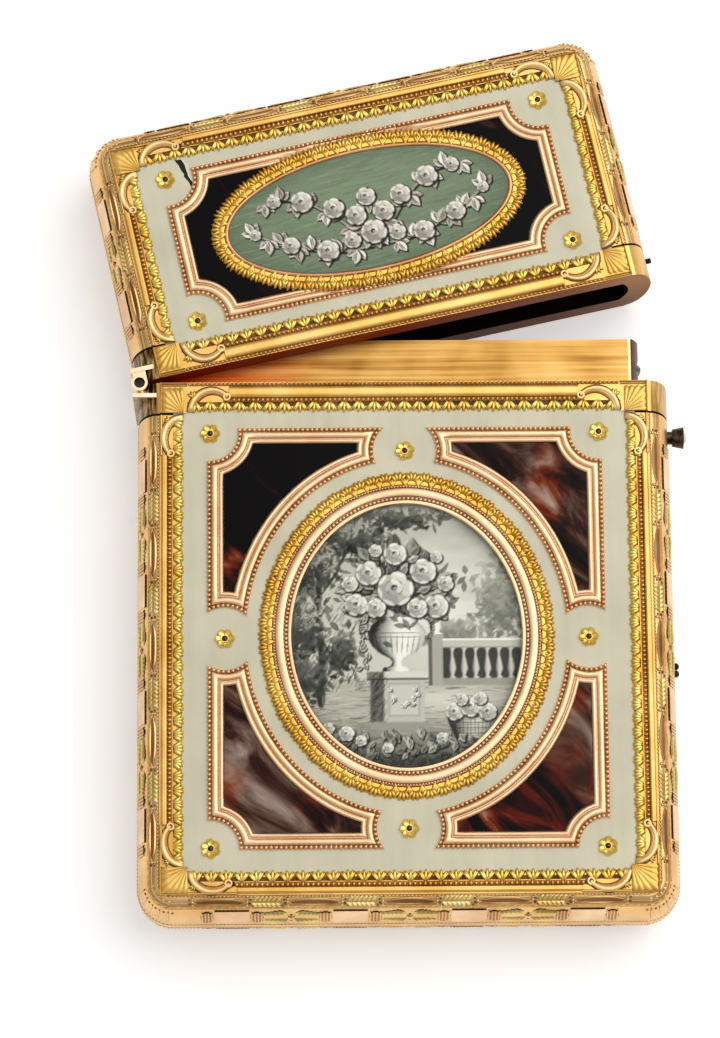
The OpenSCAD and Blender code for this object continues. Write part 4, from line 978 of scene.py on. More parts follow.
def spandrel_frames():
    """The four frames round the base's oval, each drawn from the upper or lower right one."""
    parts = []
    for flip in ((1, 1), (-1, 1), (-1, -1), (1, -1)):
        parts += panel_frame(lambda inset, row=flip[1]: spandrel_curves(inset, row), -MIDDLE["base"], flip)
    both_faces("spandrel_mouldings", parts, [rose_gold, bed_gold_tarnished_and_shaded], "base", "spandrel_frames")


def lid_panel_frame():
    """The lid's panel frame, which dips under the leaves of the oval."""
    covered = OVAL_LEAF_W["lid"] * 0.93
    dipped = IVORY_Z + 0.13
    a, b = (r + covered for r in OVAL_RING["lid"])
    parts = []
    for points, faces, finish in panel_frame(lid_panel_curves, -MIDDLE["lid"], (1, 1)):
        under = (points[:, 0] / a) ** 2 + ((points[:, 1] + MIDDLE["lid"]) / b) ** 2 < 1
        points[under, 2] = np.minimum(points[under, 2], dipped)
        parts.append((points, faces, finish))
    both_faces("panel_moulding", parts, [rose_gold, bed_gold_tarnished_and_shaded], "lid", "panel_frame")


# Rosettes

def rosette_parts(places):
    """Six cupped petals that overlap in a swirl round a garnet heart in a gold ring."""
    def bloom(u, v):
        turn = math.pi * u
        petal = 3 * (u + 1) % 1
        edge = 0.92 + 0.24 * math.sin(math.pi * petal) ** 0.7
        cup = 0.08 + 0.2 * max(0, (v - 0.3) / 0.56) ** 2 + 0.14 * petal
        height = 0.02 if v > 0.99 else cup
        return v * edge * math.cos(turn), v * edge * math.sin(turn), height
    flower = relief(48, 7, bloom)
    hearts = [place @ spot(0, 0, 0.16) for place in places]
    return [stamp(flower, places), stamp(wire_ring(0.38, 0.06, 18), hearts),
            stamp(BEAD, [h @ spot(0, 0, -0.02, 0, (0.35, 0.35, 0.16)) for h in hearts], 1)]


def rosettes(half):
    """Four rosettes at the corners of each face, and on the base four more at its middles."""
    y0 = -MIDDLE[half]
    x = VIEW_W - ROSETTE_IN_X
    y = VIEW_H[half] - ROSETTE_IN_Y[half]
    centres = [(sx * x, y0 + sy * y) for sx in (1, -1) for sy in (1, -1)]
    if half == "base":
        centres += [(s * (VIEW_W - MIDDLE_IN), y0) for s in (1, -1)]
        centres += [(0, y0 + s * (VIEW_H["base"] - MIDDLE_IN)) for s in (1, -1)]
    places = [spot(cx, cy, IVORY_Z, hand.uniform(0, 60)) for cx, cy in centres]
    mirror = Matrix.Scale(-1, 4, (0, 0, 1))
    parts = rosette_parts(places + [mirror @ p for p in places])
    finishes = [rosette_gold, garnet]
    settle(f"{half}_petal_rosettes", parts, finishes, half, (f"{half}_rosettes",))


# Paintings

def tint(code):
    """A hex colour as three values of linear light."""
    return np.array(linear(code)[:3])


def new_picture(half_w, half_h, step, tone):
    """A picture of one tone: its colours at points a step apart, its half sizes and its step."""
    nx = int(2 * half_w / step) + 1
    ny = int(2 * half_h / step) + 1
    return np.ones((ny, nx, 3)) * tint(tone), half_w, half_h, step


def dab(picture, x, y, rx, ry, turn, tone, cover=1.0, hard=2.5, pointed=False):
    """One soft touch of the brush, oval or pointed like a leaf, turned in degrees."""
    rgb, half_w, half_h, step = picture
    reach = max(rx, ry) * 1.05
    i0 = max(int((x - reach + half_w) / step), 0)
    i1 = min(int((x + reach + half_w) / step) + 2, rgb.shape[1])
    j0 = max(int((y - reach + half_h) / step), 0)
    j1 = min(int((y + reach + half_h) / step) + 2, rgb.shape[0])
    if i0 >= i1 or j0 >= j1:
        return
    gx = (np.arange(i0, i1) * step - half_w - x)[None, :]
    gy = (np.arange(j0, j1) * step - half_h - y)[:, None]
    c = math.cos(math.radians(turn))
    s = math.sin(math.radians(turn))
    u = (gx * c + gy * s) / rx
    v = (gy * c - gx * s) / ry
    if pointed:
        v = v / np.maximum(1.02 - u * u, 0.02)
    weight = cover * np.clip((1 - u * u - v * v) * hard, 0, 1)[..., None]
    patch = rgb[j0:j1, i0:i1]
    patch += (tint(tone) - patch) * weight


def canvas(picture):
    """The places of a picture's points."""
    rgb, half_w, half_h, step = picture
    return np.meshgrid(np.arange(rgb.shape[1]) * step - half_w, np.arange(rgb.shape[0]) * step - half_h)


def wash(picture, weight, tone):
    """A flat wash of one tone, as strong at each point as its weight."""
    rgb = picture[0]
    rgb += (tint(tone) - rgb) * np.clip(weight, 0, 1)[..., None]


def stones(picture, faces):
    """Flat stone faces, each given by its left, right, lower and upper edge and its tone."""
    gx, gy = canvas(picture)
    for x0, x1, y0, y1, tone in faces:
        inside = np.minimum(np.minimum(gx - x0, x1 - gx), np.minimum(gy - y0, y1 - gy))
        wash(picture, inside / 0.15 + 0.5, tone)


def turned_form(picture, x0, profile, dark, light):
    """A turned body lit from the right. The profile lists heights and half widths."""
    gx, gy = canvas(picture)
    heights, widths = zip(*profile)
    half = np.interp(gy, heights, widths, left=0, right=0)
    share = (gx - x0) / np.maximum(half, 0.01)
    inside = np.clip((half - np.abs(gx - x0)) / 0.16, 0, 1)[..., None]
    glow = np.clip(np.cos(1.5 * (share - 0.3)), 0, 1)[..., None]
    tone = tint(dark) + (tint(light) - tint(dark)) * glow
    picture[0][...] += (tone - picture[0]) * inside


def hatch(picture, count, x0, x1, y0, y1, turn, length, tone, cover):
    """Fine strokes of the brush in one direction."""
    for _ in range(count):
        dab(picture, hand.uniform(x0, x1), hand.uniform(y0, y1), length * hand.uniform(0.5, 1.2),
            0.07, turn + hand.uniform(-8, 8), tone, cover, 2)


def mixed(one, other, share):
    """A hex colour between two others."""
    pair = [(int(one[i:i + 2], 16), int(other[i:i + 2], 16)) for i in (1, 3, 5)]
    return "#" + "".join(f"{round(a + (b - a) * share):02x}" for a, b in pair)


def painted_leaf(picture, x, y, length, turn, dark, light):
    """A leaf in two tones with a midrib and a dark edge, its root at x, y."""
    c = math.cos(math.radians(turn))
    s = math.sin(math.radians(turn))
    mx = x + c * length / 2
    my = y + s * length / 2
    dab(picture, mx + 0.1, my - 0.12, length * 0.58, length * 0.36, turn, dark, 0.9, 2.5, True)
    dab(picture, mx, my, length * 0.5, length * 0.26, turn, light, 1.0, 4, True)
    dab(picture, mx + s * 0.1 * length, my - c * 0.1 * length, length * 0.38, length * 0.1, turn,
        mixed(light, dark, 0.45), 0.75, 2, True)
    dab(picture, mx, my, length * 0.46, 0.06, turn, mixed(light, dark, 0.75), 0.85)


def painted_rose(picture, x, y, r, dark, light):
    """A full rose: broad outer petals with pale rims and dark gaps, then a cup of smaller ones."""
    first = 3.1 * x + 1.7 * y

    def touch(cx, cy, rx, ry, turn, shade, cover, hard):
        dab(picture, cx, cy, rx * r, ry * r, turn, mixed(light, dark, shade), cover, hard)

    dab(picture, x + 0.1, y - 0.14, 1.08 * r, 1.04 * r, 0, dark, 0.95, 4)
    for k in range(6):
        turn = first + 1.047 * k + 0.2 * math.sin(5 * k + first)
        c = math.cos(turn)
        s = math.sin(turn)
        lit = 0.5 + 0.5 * math.cos(turn - 0.9)
        slant = math.degrees(turn) + 90
        touch(x + 0.6 * r * c, y + 0.58 * r * s, 0.47, 0.36, slant, 0.42 - 0.3 * lit, 1, 3)
        touch(x + 0.8 * r * c, y + 0.78 * r * s, 0.36, 0.1, slant, 0.12 - 0.1 * lit, 0.9, 3)
    hx = x - 0.06 * r
    hy = y + 0.08 * r
    touch(hx, hy, 0.5, 0.46, 0, 0.85, 0.9, 3)
    for k in range(4):
        turn = first + 0.6 + 1.57 * k
        c = math.cos(turn)
        s = math.sin(turn)
        lit = 0.5 + 0.5 * math.cos(turn - 0.9)
        slant = math.degrees(turn) + 75
        touch(hx + 0.28 * r * c, hy + 0.26 * r * s, 0.3, 0.17, slant, 0.36 - 0.32 * lit, 0.95, 3)
    touch(hx, hy, 0.19, 0.16, 20, 0.95, 0.9, 2.5)
    touch(hx + 0.04 * r, hy - 0.05 * r, 0.1, 0.07, 20, 0.3, 0.9, 2.5)


def roses(picture, places, dark, light):
    """Roses, each given by its centre and radius."""
    for x, y, r in places:
        painted_rose(picture, x, y, r, dark, light)


def foliage(picture, clumps, dark, light, size):
    """Clumps of leaf touches, dark below and light on top, each given by centre, spreads and count."""
    for x, y, spread_x, spread_y, count in clumps:
        for _ in range(count):
            px = x + hand.gauss(0, 0.42) * spread_x
            py = y + hand.gauss(0, 0.42) * spread_y
            share = min(1, max(0, 0.5 + 0.45 * (py - y) / spread_y + hand.uniform(-0.25, 0.25)))
            dab(picture, px, py, size * hand.uniform(0.6, 1.3), size * hand.uniform(0.25, 0.5),
                hand.uniform(0, 180), mixed(dark, light, share), 0.7, 2.5, True)


DARK_GREY = "#1c1d17"
ROSE_GREY = "#3a3b34"
PALE_GREY = "#f6f3e8"
VASE_X = -1.1


def sky_and_ground(picture):
    """A pale sky with soft clouds over far trees, and level ground with a lit strip."""
    gx, gy = canvas(picture)
    wash(picture, (gy - 1) / 24, "#a6a798")
    wash(picture, 0.9 * np.exp(-((gx - 4) / 5) ** 2 - ((gy - 4) / 6) ** 2), "#eae8dd")
    for _ in range(80):
        dab(picture, hand.uniform(-6, 13), hand.uniform(4, 15), hand.uniform(2, 4), hand.uniform(0.4, 1.1),
            hand.uniform(-15, 15), mixed("#b4b4a6", "#e8e6da", hand.random()), 0.28, 1.2)
    foliage(picture, ((10.5, 3.5, 3.4, 5.0, 300), (5.5, 0.2, 3.6, 1.8, 150), (12.0, 9.0, 2.2, 3.0, 120)),
            "#6c6e64", "#b9b9ab", 0.7)
    wash(picture, (-4.6 - gy) / 0.8, "#bab7a8")
    wash(picture, (-8.5 - gy) / 6, "#57574d")
    wash(picture, 0.8 * np.exp(-((gx - 4) / 5) ** 2 - ((gy + 7.2) / 1.4) ** 2), "#dedbcd")
    hatch(picture, 260, -13, 13, -15, -5, 3, 1.2, "#45453d", 0.4)
    hatch(picture, 160, -13, 13, -12, -5, 3, 1.2, "#e2dfd2", 0.35)


def balustrade(picture):
    """A stone balustrade at the right, with a post and its finial."""
    baluster = ((-4.9, 0.5), (-4.6, 0.5), (-4.5, 0.25), (-3.7, 0.56), (-2.9, 0.4), (-2.1, 0.2), (-1.6, 0.28),
                (-1.4, 0.5))
    finial = ((0.2, 1.0), (0.5, 0.5), (1.0, 0.75), (1.5, 0.6), (1.9, 0.2))
    stones(picture, ((3.0, 13.3, -5.2, -1.2, "#4a4a42"),))
    for k in range(7):
        turned_form(picture, 5.0 + 1.3 * k, baluster, "#3c3c35", "#d5d3c6")
    stones(picture, ((2.6, 13.3, -5.6, -4.8, "#a7a598"), (2.6, 13.3, -1.3, -0.3, "#c9c7ba"),
                     (2.6, 13.3, -0.5, -0.3, PALE_GREY), (2.4, 4.0, -5.6, 0.2, "#b3b1a4"),
                     (2.4, 2.8, -5.6, 0.2, "#6b6a60")))
    turned_form(picture, 3.2, finial, "#55554c", PALE_GREY)


def garden_tree(picture):
    """A dark tree at the left: its trunk, its boughs and its leaves."""
    for k in range(12):
        sway = 0.25 * math.sin(0.7 * k)
        y = -7 + 1.5 * k
        turn = 6 * math.sin(k)
        dab(picture, -9.6 + sway, y, 0.55 - 0.02 * k, 1.3, turn, "#2a2a25", 0.95, 2)
        dab(picture, -9.35 + sway, y, 0.16, 1.1, turn, "#8a887c", 0.6, 2)
    for x, y, turn in ((-8.3, 6.5, 55), (-7.0, 9.0, 62), (-10.8, 5.0, 125), (-5.6, 10.6, 70)):
        dab(picture, x, y, 2.0, 0.2, turn, "#2a2a25", 0.9, 2)
    foliage(picture, ((-11.0, 8.0, 3.6, 4.6, 520), (-6.5, 11.5, 4.5, 2.6, 420), (-11.5, 0.5, 2.6, 4.5, 330),
                      (-1.0, 13.3, 5.0, 1.4, 240), (-11.5, -5.0, 2.6, 3.0, 260), (-7.4, -2.0, 2.2, 2.6, 200)),
            DARK_GREY, "#8f9085", 0.62)
    foliage(picture, ((-10.0, 9.5, 3.0, 3.0, 90), (-6.0, 12.4, 3.6, 1.4, 70), (-10.8, 2.4, 2.0, 2.6, 60)),
            "#9a9b8f", "#d6d5c8", 0.42)


def vase(picture):
    """A fluted stone vase with two scrolled handles, on a pedestal with a garland."""
    stones(picture, ((-4.6, 2.4, -10.6, -9.6, "#a4a296"), (-4.1, 1.9, -9.7, -4.6, "#c6c4b8"),
                     (-4.1, -2.6, -9.7, -4.6, "#77766b"), (-2.1, 1.4, -9.1, -5.3, "#b4b2a5"),
                     (-1.9, 1.2, -8.9, -5.5, "#cfcdc1"), (-4.5, 2.3, -4.8, -4.0, "#dad8cc"),
                     (-4.5, -2.6, -4.8, -4.0, "#8c8b80"), (-4.5, 2.3, -4.95, -4.75, "#4d4d45")))
    for k in range(9):
        turn = math.pi * k / 8
        painted_leaf(picture, -0.35 + 1.3 * math.cos(turn), -6.3 - 1.5 * math.sin(turn), 0.8,
                     hand.uniform(0, 360), "#55554c", PALE_GREY)
    body = ((-4.0, 1.7), (-3.6, 1.7), (-3.4, 0.8), (-2.9, 0.6), (-2.5, 0.9), (-2.0, 1.9), (-1.2, 2.8),
            (-0.3, 3.3), (0.5, 3.35), (1.2, 2.9), (1.7, 2.3), (2.1, 2.3), (2.4, 3.0), (2.7, 3.1))
    turned_form(picture, VASE_X, body, "#35352f", PALE_GREY)
    for k in range(9):
        lean = (k - 4) / 4
        dab(picture, VASE_X + 2.4 * lean, -0.9, 0.1, 1.3, -14 * lean, "#6d6c62", 0.55, 2)
    for y in (-0.05, 0.35):
        dab(picture, VASE_X, y, 3.2, 0.08, 0, "#4f4f47", 0.6, 2)
    for side in (1, -1):
        for k in range(10):
            turn = math.radians(-70 + 16 * k)
            x = VASE_X + side * (3.0 + 1.0 * math.cos(turn))
            dab(picture, x, 0.9 + 1.2 * math.sin(turn), 0.3, 0.24, 0, "#3c3c35", 0.9, 3)
            dab(picture, x + 0.08, 0.95 + 1.2 * math.sin(turn), 0.18, 0.13, 0, "#c4c2b5", 0.8, 3)


def bouquet(picture):
    """Roses and leaves that fill the vase, with a trail that hangs from it."""
    foliage(picture, ((VASE_X, 5.6, 6.2, 4.6, 360),), DARK_GREY, "#5b5c53", 0.8)
    for _ in range(76):
        turn = hand.uniform(-20, 200)
        reach = hand.uniform(1.5, 6.0)
        x = VASE_X + reach * 0.92 * math.cos(math.radians(turn))
        y = 4.2 + reach * 0.9 * math.sin(math.radians(turn))
        painted_leaf(picture, x, y, hand.uniform(1.5, 2.5), turn + hand.uniform(-45, 45), DARK_GREY,
                     mixed("#6e6f65", "#d8d6ca", hand.random()))
    roses(picture, ((-5.6, 3.6, 1.4), (3.3, 3.4, 1.5), (-4.2, 7.2, 1.55), (1.9, 7.4, 1.6), (-1.2, 9.4, 1.4),
                    (-1.2, 5.4, 2.2), (-6.3, 6.0, 1.0), (4.4, 6.0, 1.0), (1.2, 3.2, 1.25), (-3.4, 3.2, 1.2),
                    (-3.4, 9.8, 0.8), (3.4, 9.0, 0.75)), ROSE_GREY, PALE_GREY)
    for k in range(12):
        painted_leaf(picture, -4.6 + 0.3 * math.sin(k), 2.6 - 0.55 * k, 0.95, 250 + hand.uniform(-50, 50),
                     DARK_GREY, "#c9c7ba")


def basket_and_verge(picture):
    """A basket of roses at the right, and plants along the lower edge."""
    basket = ((-11.8, 1.7), (-11.0, 2.1), (-10.0, 2.5), (-9.4, 2.7), (-9.1, 2.7))
    turned_form(picture, 7.0, basket, "#3c3b33", "#d6d3c4")
    for k in range(9):
        dab(picture, 7.0, -11.6 + 0.3 * k, 2.3, 0.06, 0, "#3a3932", 0.6, 2)
    for k in range(11):
        dab(picture, 4.9 + 0.42 * k, -10.4, 0.07, 1.3, 6 * (5 - k) / 5, "#3a3932", 0.5, 2)
    roses(picture, ((5.2, -8.6, 1.1), (7.0, -8.0, 1.3), (8.9, -8.6, 1.1), (3.9, -11.6, 0.8),
                    (10.0, -11.3, 0.8), (6.0, -7.2, 0.8), (8.1, -7.1, 0.8)), ROSE_GREY, PALE_GREY)
    foliage(picture, ((-8, -12.0, 4.5, 1.8, 380), (6.5, -13.2, 4.5, 1.2, 240), (-1, -13.6, 6, 1.2, 300)),
            DARK_GREY, "#9b9c90", 0.6)
    for _ in range(60):
        painted_leaf(picture, hand.uniform(-11, 9), hand.uniform(-14, -11.5), hand.uniform(0.9, 1.7),
                     hand.uniform(20, 160), DARK_GREY, mixed("#77786d", "#c6c5b8", hand.random()))
    roses(picture, ((-6.8, -11.0, 0.95), (-8.8, -10.4, 0.75), (-5.2, -11.8, 0.7), (-2.2, -12.6, 0.65)),
          ROSE_GREY, PALE_GREY)


def grisaille():
    """A stone vase of roses in a garden, all in greys and darker towards the edge."""
    picture = new_picture(13.3, 15.45, 0.12, "#cfcdbf")
    for paint in (sky_and_ground, balustrade, garden_tree, vase, bouquet, basket_and_verge):
        paint(picture)
    hatch(picture, 200, -13, -5, -6, 4, 60, 0.7, DARK_GREY, 0.45)
    hatch(picture, 120, -4.1, -2.4, -9.6, -4.2, 55, 0.6, DARK_GREY, 0.4)
    gx, gy = canvas(picture)
    wash(picture, ((gx / 13.2) ** 2 + (gy / 15.4) ** 2 - 0.72) * 1.1, "#4a4a42")
    return picture


def sage_garland():
    """Rose branches in warm greys that rise to the left and right from a bunch, on a brushed sage ground."""
    picture = new_picture(16.5, 7.1, 0.1, "#84927a")
    shade = "#2a2620"
    pale = "#f4efe2"
    gx, gy = canvas(picture)
    wash(picture, 0.6 * np.exp(-(gx / 10) ** 2 - ((gy - 2) / 4) ** 2), "#95a387")
    wash(picture, ((gx / 16.4) ** 2 + (gy / 7.0) ** 2 - 0.6) * 0.8, "#566350")
    hatch(picture, 420, -16, 16, -7, 7, 4, 1.6, "#667560", 0.3)
    hatch(picture, 260, -16, 16, -7, 7, 4, 1.6, "#a5b298", 0.28)
    low = ((0.6, -4.4), (4.0, -4.3), (7.5, -3.3), (10.6, -1.9), (13.4, -0.2))
    high = ((1.2, -3.2), (3.6, -0.4), (5.8, 1.6), (8.6, 3.0), (11.4, 3.2))
    on_branches = ((3.9, 1.0, 1.25), (7.3, 2.5, 1.35), (5.6, -3.8, 1.3), (9.6, -2.3, 1.15), (10.4, 3.2, 0.9),
                   (13.3, -0.2, 0.75))
    for side in (1, -1):
        for path in (low, high):
            line = evenly(path, 0.16)
            for x, y in line:
                dab(picture, side * x + 0.1, y - 0.14, 0.3, 0.2, 0, shade, 0.7, 3)
            for x, y in line:
                dab(picture, side * x, y, 0.2, 0.1, 0, "#b4ad9c", 0.9, 3)
            for k, (x, y) in enumerate(evenly(path, 1.75)[1:]):
                way = 1 if k % 2 else -1
                aim = way * 75 + 20 * hand.uniform(-1, 1)
                size = hand.uniform(1.5, 1.9)
                for bend in (-46, 46, 0):
                    turn = aim + bend if side > 0 else 180 - aim - bend
                    painted_leaf(picture, side * x, y, size * (1.15 if bend == 0 else 0.95), turn, shade,
                                 mixed("#c4bead", pale, hand.random()))
        roses(picture, [(side * x, y, r * hand.uniform(0.95, 1.08)) for x, y, r in on_branches], shade, pale)
    for k in range(12):
        turn = 30 * k
        x = 1.2 * math.cos(math.radians(turn))
        y = -1.8 + 1.2 * math.sin(math.radians(turn))
        painted_leaf(picture, x, y, 1.9, turn + hand.uniform(-14, 14), shade,
                     mixed("#c4bead", pale, hand.random()))
    roses(picture, ((0, 1.6, 1.2), (-1.6, -0.4, 1.3), (1.6, -0.5, 1.35), (0, -2.7, 1.6), (-2.6, -3.2, 1.05),
                    (2.6, -3.3, 1.05)), shade, pale)
    return picture


def painting(name, half, picture, oval, z, finish, back):
    """Lays a picture on a fine grid cut to an oval, over its plaque."""
    rgb = picture[0]
    gx, gy = canvas(picture)
    inside = (gx / oval[0]) ** 2 + (gy / oval[1]) ** 2 < 1
    cells = inside[:-1, :-1] & inside[1:, :-1] & inside[:-1, 1:] & inside[1:, 1:]
    number = np.full(inside.shape, -1)
    used = np.zeros(inside.shape, bool)
    for rows in (slice(None, -1), slice(1, None)):
        for columns in (slice(None, -1), slice(1, None)):
            used[rows, columns] |= cells
    count = used.sum()
    number[used] = np.arange(count)
    upright = 1 if half == "base" else -1
    y = upright * gy[used] + OVAL_UP[half] - MIDDLE[half]
    points = np.stack([gx[used], y, np.full(count, z)], 1)
    j, i = np.nonzero(cells)
    faces = np.stack([number[j, i], number[j, i + 1], number[j + 1, i + 1], number[j + 1, i]], 1)
    if upright < 0:
        faces = faces[:, ::-1]
    piece = settle(name, [(points, faces.tolist(), 0)], [finish], half, back=back)
    paint = piece.data.color_attributes.new("Paint", "FLOAT_COLOR", "POINT")
    paint.data.foreach_set("color", np.concatenate([rgb[used], np.ones((count, 1))], 1).ravel())


# Chased sides, in lanes given as degrees round the curve from the middle to a face

MILLED_LINES = ((86, 0.42, (0.25, 0.12, 0.11)), (60, 0.8, (0.45, 0.05, 0.07)), (10, 0.42, (0.18, 0.14, 0.11)))
PANEL_LANE = 73
PANEL_PITCH = 9.9
BLOCK_LANE = 35
BLOCK_PITCH = 13.6
COLLET_REACH = 1.6
BLOCK_REACH = 4


def side_spot(half, side, s, t, size=1.0, turn=0.0):
    """A place on a side: s along it, t degrees round its curve from the middle to a face."""
    h = HEIGHT[half]
    out, start_at, along = {
        "right": ((1, 0), (HALF_W, CORNER_IN - h), (0, 1)),
        "far": ((0, -1), (CORNER_IN - HALF_W, -h), (1, 0)),
        "left": ((-1, 0), (-HALF_W, -FRAME_TOP), (0, -1))}[side]
    a = math.radians(t)
    reach = SIDE_BULGE * math.cos(a)
    slope = [o * math.cos(a) / SIDE_BULGE for o in out]
    normal = Vector((*slope, math.sin(a) / SIDE_Z)).normalized()
    x_axis = Vector((*along, 0))
    m = Matrix((x_axis, normal.cross(x_axis), normal)).transposed().to_4x4()
    foot = [start_at[i] + along[i] * s + out[i] * reach for i in (0, 1)]
    m.translation = Vector((*foot, SIDE_Z * math.sin(a)))
    return m @ spot(0, 0, 0, turn, size)


def corner_spot(half, sx, turn, t, size):
    """A place on a rounded corner: turn from the side to the far end."""
    a = math.radians(t)
    b = math.radians(turn)
    out = Vector((sx * math.cos(b), -math.sin(b), 0))
    normal = (out * (math.cos(a) / SIDE_BULGE) + Vector((0, 0, math.sin(a) / SIDE_Z))).normalized()
    x_axis = Vector((0, 0, 1)).cross(out)
    m = Matrix((x_axis, normal.cross(x_axis), normal)).transposed().to_4x4()
    centre = Vector((sx * (HALF_W - CORNER_IN), CORNER_IN - HEIGHT[half], SIDE_Z * math.sin(a)))
    m.translation = centre + out * (CORNER_IN + SIDE_BULGE * math.cos(a))
    return m @ spot(0, 0, 0, 0, size)


def chasing(half):
    """The sides of a half in lanes: milled lines, sunk panels with sprays between them, and dotted blocks."""
    h = HEIGHT[half]
    beads = []
    rims = []
    floors = []
    slabs = []
    ribs = []
    leaves = []
    dots = []
    upright = h - FRAME_TOP - CORNER_IN
    runs = {"right": upright, "far": 2 * (HALF_W - CORNER_IN), "left": upright}

    def by_button(along, side, reach):
        """Whether a place on a side lies where the button's collet comes down."""
        return half == "base" and side == "right" and abs(CORNER_IN - h + along - BUTTON_Y) < reach

    for t, pitch, size in MILLED_LINES:
        for face in (1, -1):
            for side, length in runs.items():
                count = int(length / pitch)
                for k in range(count):
                    along = (k + 0.5) * length / count
                    if t > BLOCK_LANE or not by_button(along, side, COLLET_REACH):
                        beads.append(side_spot(half, side, along, face * t, size))
            round_corner = (CORNER_IN + SIDE_BULGE * math.cos(math.radians(t))) * math.pi / 2
            turns = max(3, int(round_corner / pitch))
            for sx in (1, -1):
                beads += [corner_spot(half, sx, 90 * (k + 0.5) / turns, face * t, size) for k in range(turns)]
    for side, length in runs.items():
        for face in (1, -1):
            def at(s, t, size=1.0, turn=0.0):
                return side_spot(half, side, s, face * t, size, turn)
            count = round(length / PANEL_PITCH)
            step = length / count
            for k in range(count):
                middle = (k + 0.5) * step
                rims.append(at(middle, PANEL_LANE, (2.75, 0.5, 0.13)))
                floors.append(at(middle, PANEL_LANE, (2.75, 0.5, 0.1)))
                for way in (1, -1):
                    beads += [at(middle + way * 3.0, PANEL_LANE + d, (0.2, 0.2, 0.16)) for d in (-7, 0, 7)]
                    dots += [at(middle + way * 3.3, PANEL_LANE - 3, (0.15, 0.15, 0.08)),
                             at(middle + way * 3.35, PANEL_LANE + 6, (0.13, 0.13, 0.08))]
                if k + 1 < count:
                    gap = middle + step / 2
                    for j in range(6):
                        leaves += [at(gap - 1.7 + 0.5 * j, PANEL_LANE + lean / 16, 0.95, lean * face)
                                   for lean in (32, -32)]
                    dots += [at(gap - 1.6 + 0.66 * j, PANEL_LANE - 9, (0.12, 0.12, 0.06)) for j in range(6)]
            count = round(length / BLOCK_PITCH)
            step = length / count
            for k in range(count):
                middle = (k + 0.5) * step
                if by_button(middle, side, BLOCK_REACH):
                    continue
                slabs.append(at(middle, BLOCK_LANE, (1.9, 1.5, 0.1)))
                dots += [at(middle - 1.6 + 0.46 * j, BLOCK_LANE + 16, (0.17, 0.13, 0.06)) for j in range(8)]
                dots += [at(middle - 1.35 + 0.54 * j, BLOCK_LANE + 12, (0.1, 0.1, 0.06)) for j in range(6)]
                for way in (1, -1):
                    floors.append(at(middle + way * 2.75, BLOCK_LANE, (0.8, 1.6, 0.08)))
                    ribs += [at(middle + way * (2.2 + 0.36 * j), BLOCK_LANE, (0.11, 1.45, 0.14))
                             for j in range(4)]
                if k + 1 < count:
                    gap = middle + step / 2
                    beads.append(at(gap, BLOCK_LANE, (0.42, 0.42, 0.25)))
                    dots += [at(gap, BLOCK_LANE + d, (0.14, 0.14, 0.1)) for d in (-7.5, 7.5)]
                    for way, turn in ((1, 0), (-1, 180)):
                        for j in range(5):
                            s = gap + (0.35 + 0.52 * j) * way
                            leaves += [at(s, BLOCK_LANE + lean / 9, 1.55 - 0.12 * j, turn + lean * face * way)
                                       for lean in (42, -42)]
    for sx in (1, -1):
        for face in (1, -1):
            for k in range(5):
                turn = 90 * (k + 0.5) / 5
                ribs.append(corner_spot(half, sx, turn, face * BLOCK_LANE, (0.14, 1.45, 0.14)))
                dots.append(corner_spot(half, sx, turn + 9, face * (BLOCK_LANE + 13), (0.15, 0.13, 0.06)))
                beads.append(corner_spot(half, sx, turn, face * PANEL_LANE, (0.2, 0.24, 0.15)))
    # The dots are small dark beads, tarnished and darkened as painted shade.
    parts = [stamp(SMALL_BEAD, beads), stamp(LENS_RIM, rims), stamp(LENS_FLOOR, floors, 3),
             stamp(SLAB, slabs, 4), stamp(SMALL_BEAD, ribs), stamp(LAUREL, leaves, 1),
             stamp(SMALL_BEAD, dots, 2)]
    finishes = [side_gold, spray_gold, tarnishing_and_shade, sunk_gold, block_gold]
    settle(f"{half}_side_chasing", parts, finishes, half)


# Button, stone and crack

def button_mount():
    """Claws round the button's stone, and the stone cut with facets."""
    def claw(u, v):
        return 0.16 * u * (1 - 0.5 * v), 0.5 * v, 0.2 * (1 - u * u) * (1 - 0.6 * v * v)
    box_low, box_high = (Vector(c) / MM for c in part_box("push_button_stone"))
    centre = (box_low + box_high) / 2
    radius = (box_high.y - box_low.y) / 2
    bpy.ops.mesh.primitive_cone_add(vertices=8, radius1=radius, radius2=radius * 0.55,
                                    depth=(box_high.x - box_low.x))
    bpy.ops.object.mode_set(mode="EDIT")
    bpy.ops.mesh.select_all(action="SELECT")
    bpy.ops.mesh.bevel(offset=radius * 0.16, segments=1)
    bpy.ops.object.mode_set(mode="OBJECT")
    gem = take(bpy.context.object)
    shift = Vector((0, MOUTH_RAIL / 2, CREST_Z))
    outward = Matrix.Rotation(math.radians(90), 4, "Y")
    place = Matrix.Translation(centre - shift) @ outward
    settle("button_cut_stone", [stamp(gem, [place])], [stone], "base", ("push_button_stone",),
           body="button", angle=20)
    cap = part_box("push_button")[1][0] / MM
    seat = Matrix.Translation((cap - shift.x - 0.42, centre.y - shift.y, centre.z - shift.z)) @ outward
    foot = spot(0, radius * 1.02, 0.0, 180, (1, 0.6, 1))
    claws = [seat @ Matrix.Rotation(math.radians(45 * k), 4, "Z") @ foot for k in range(8)]
    settle("button_claws", [stamp(relief(4, 5, claw), claws)], [silver], "base", body="button")


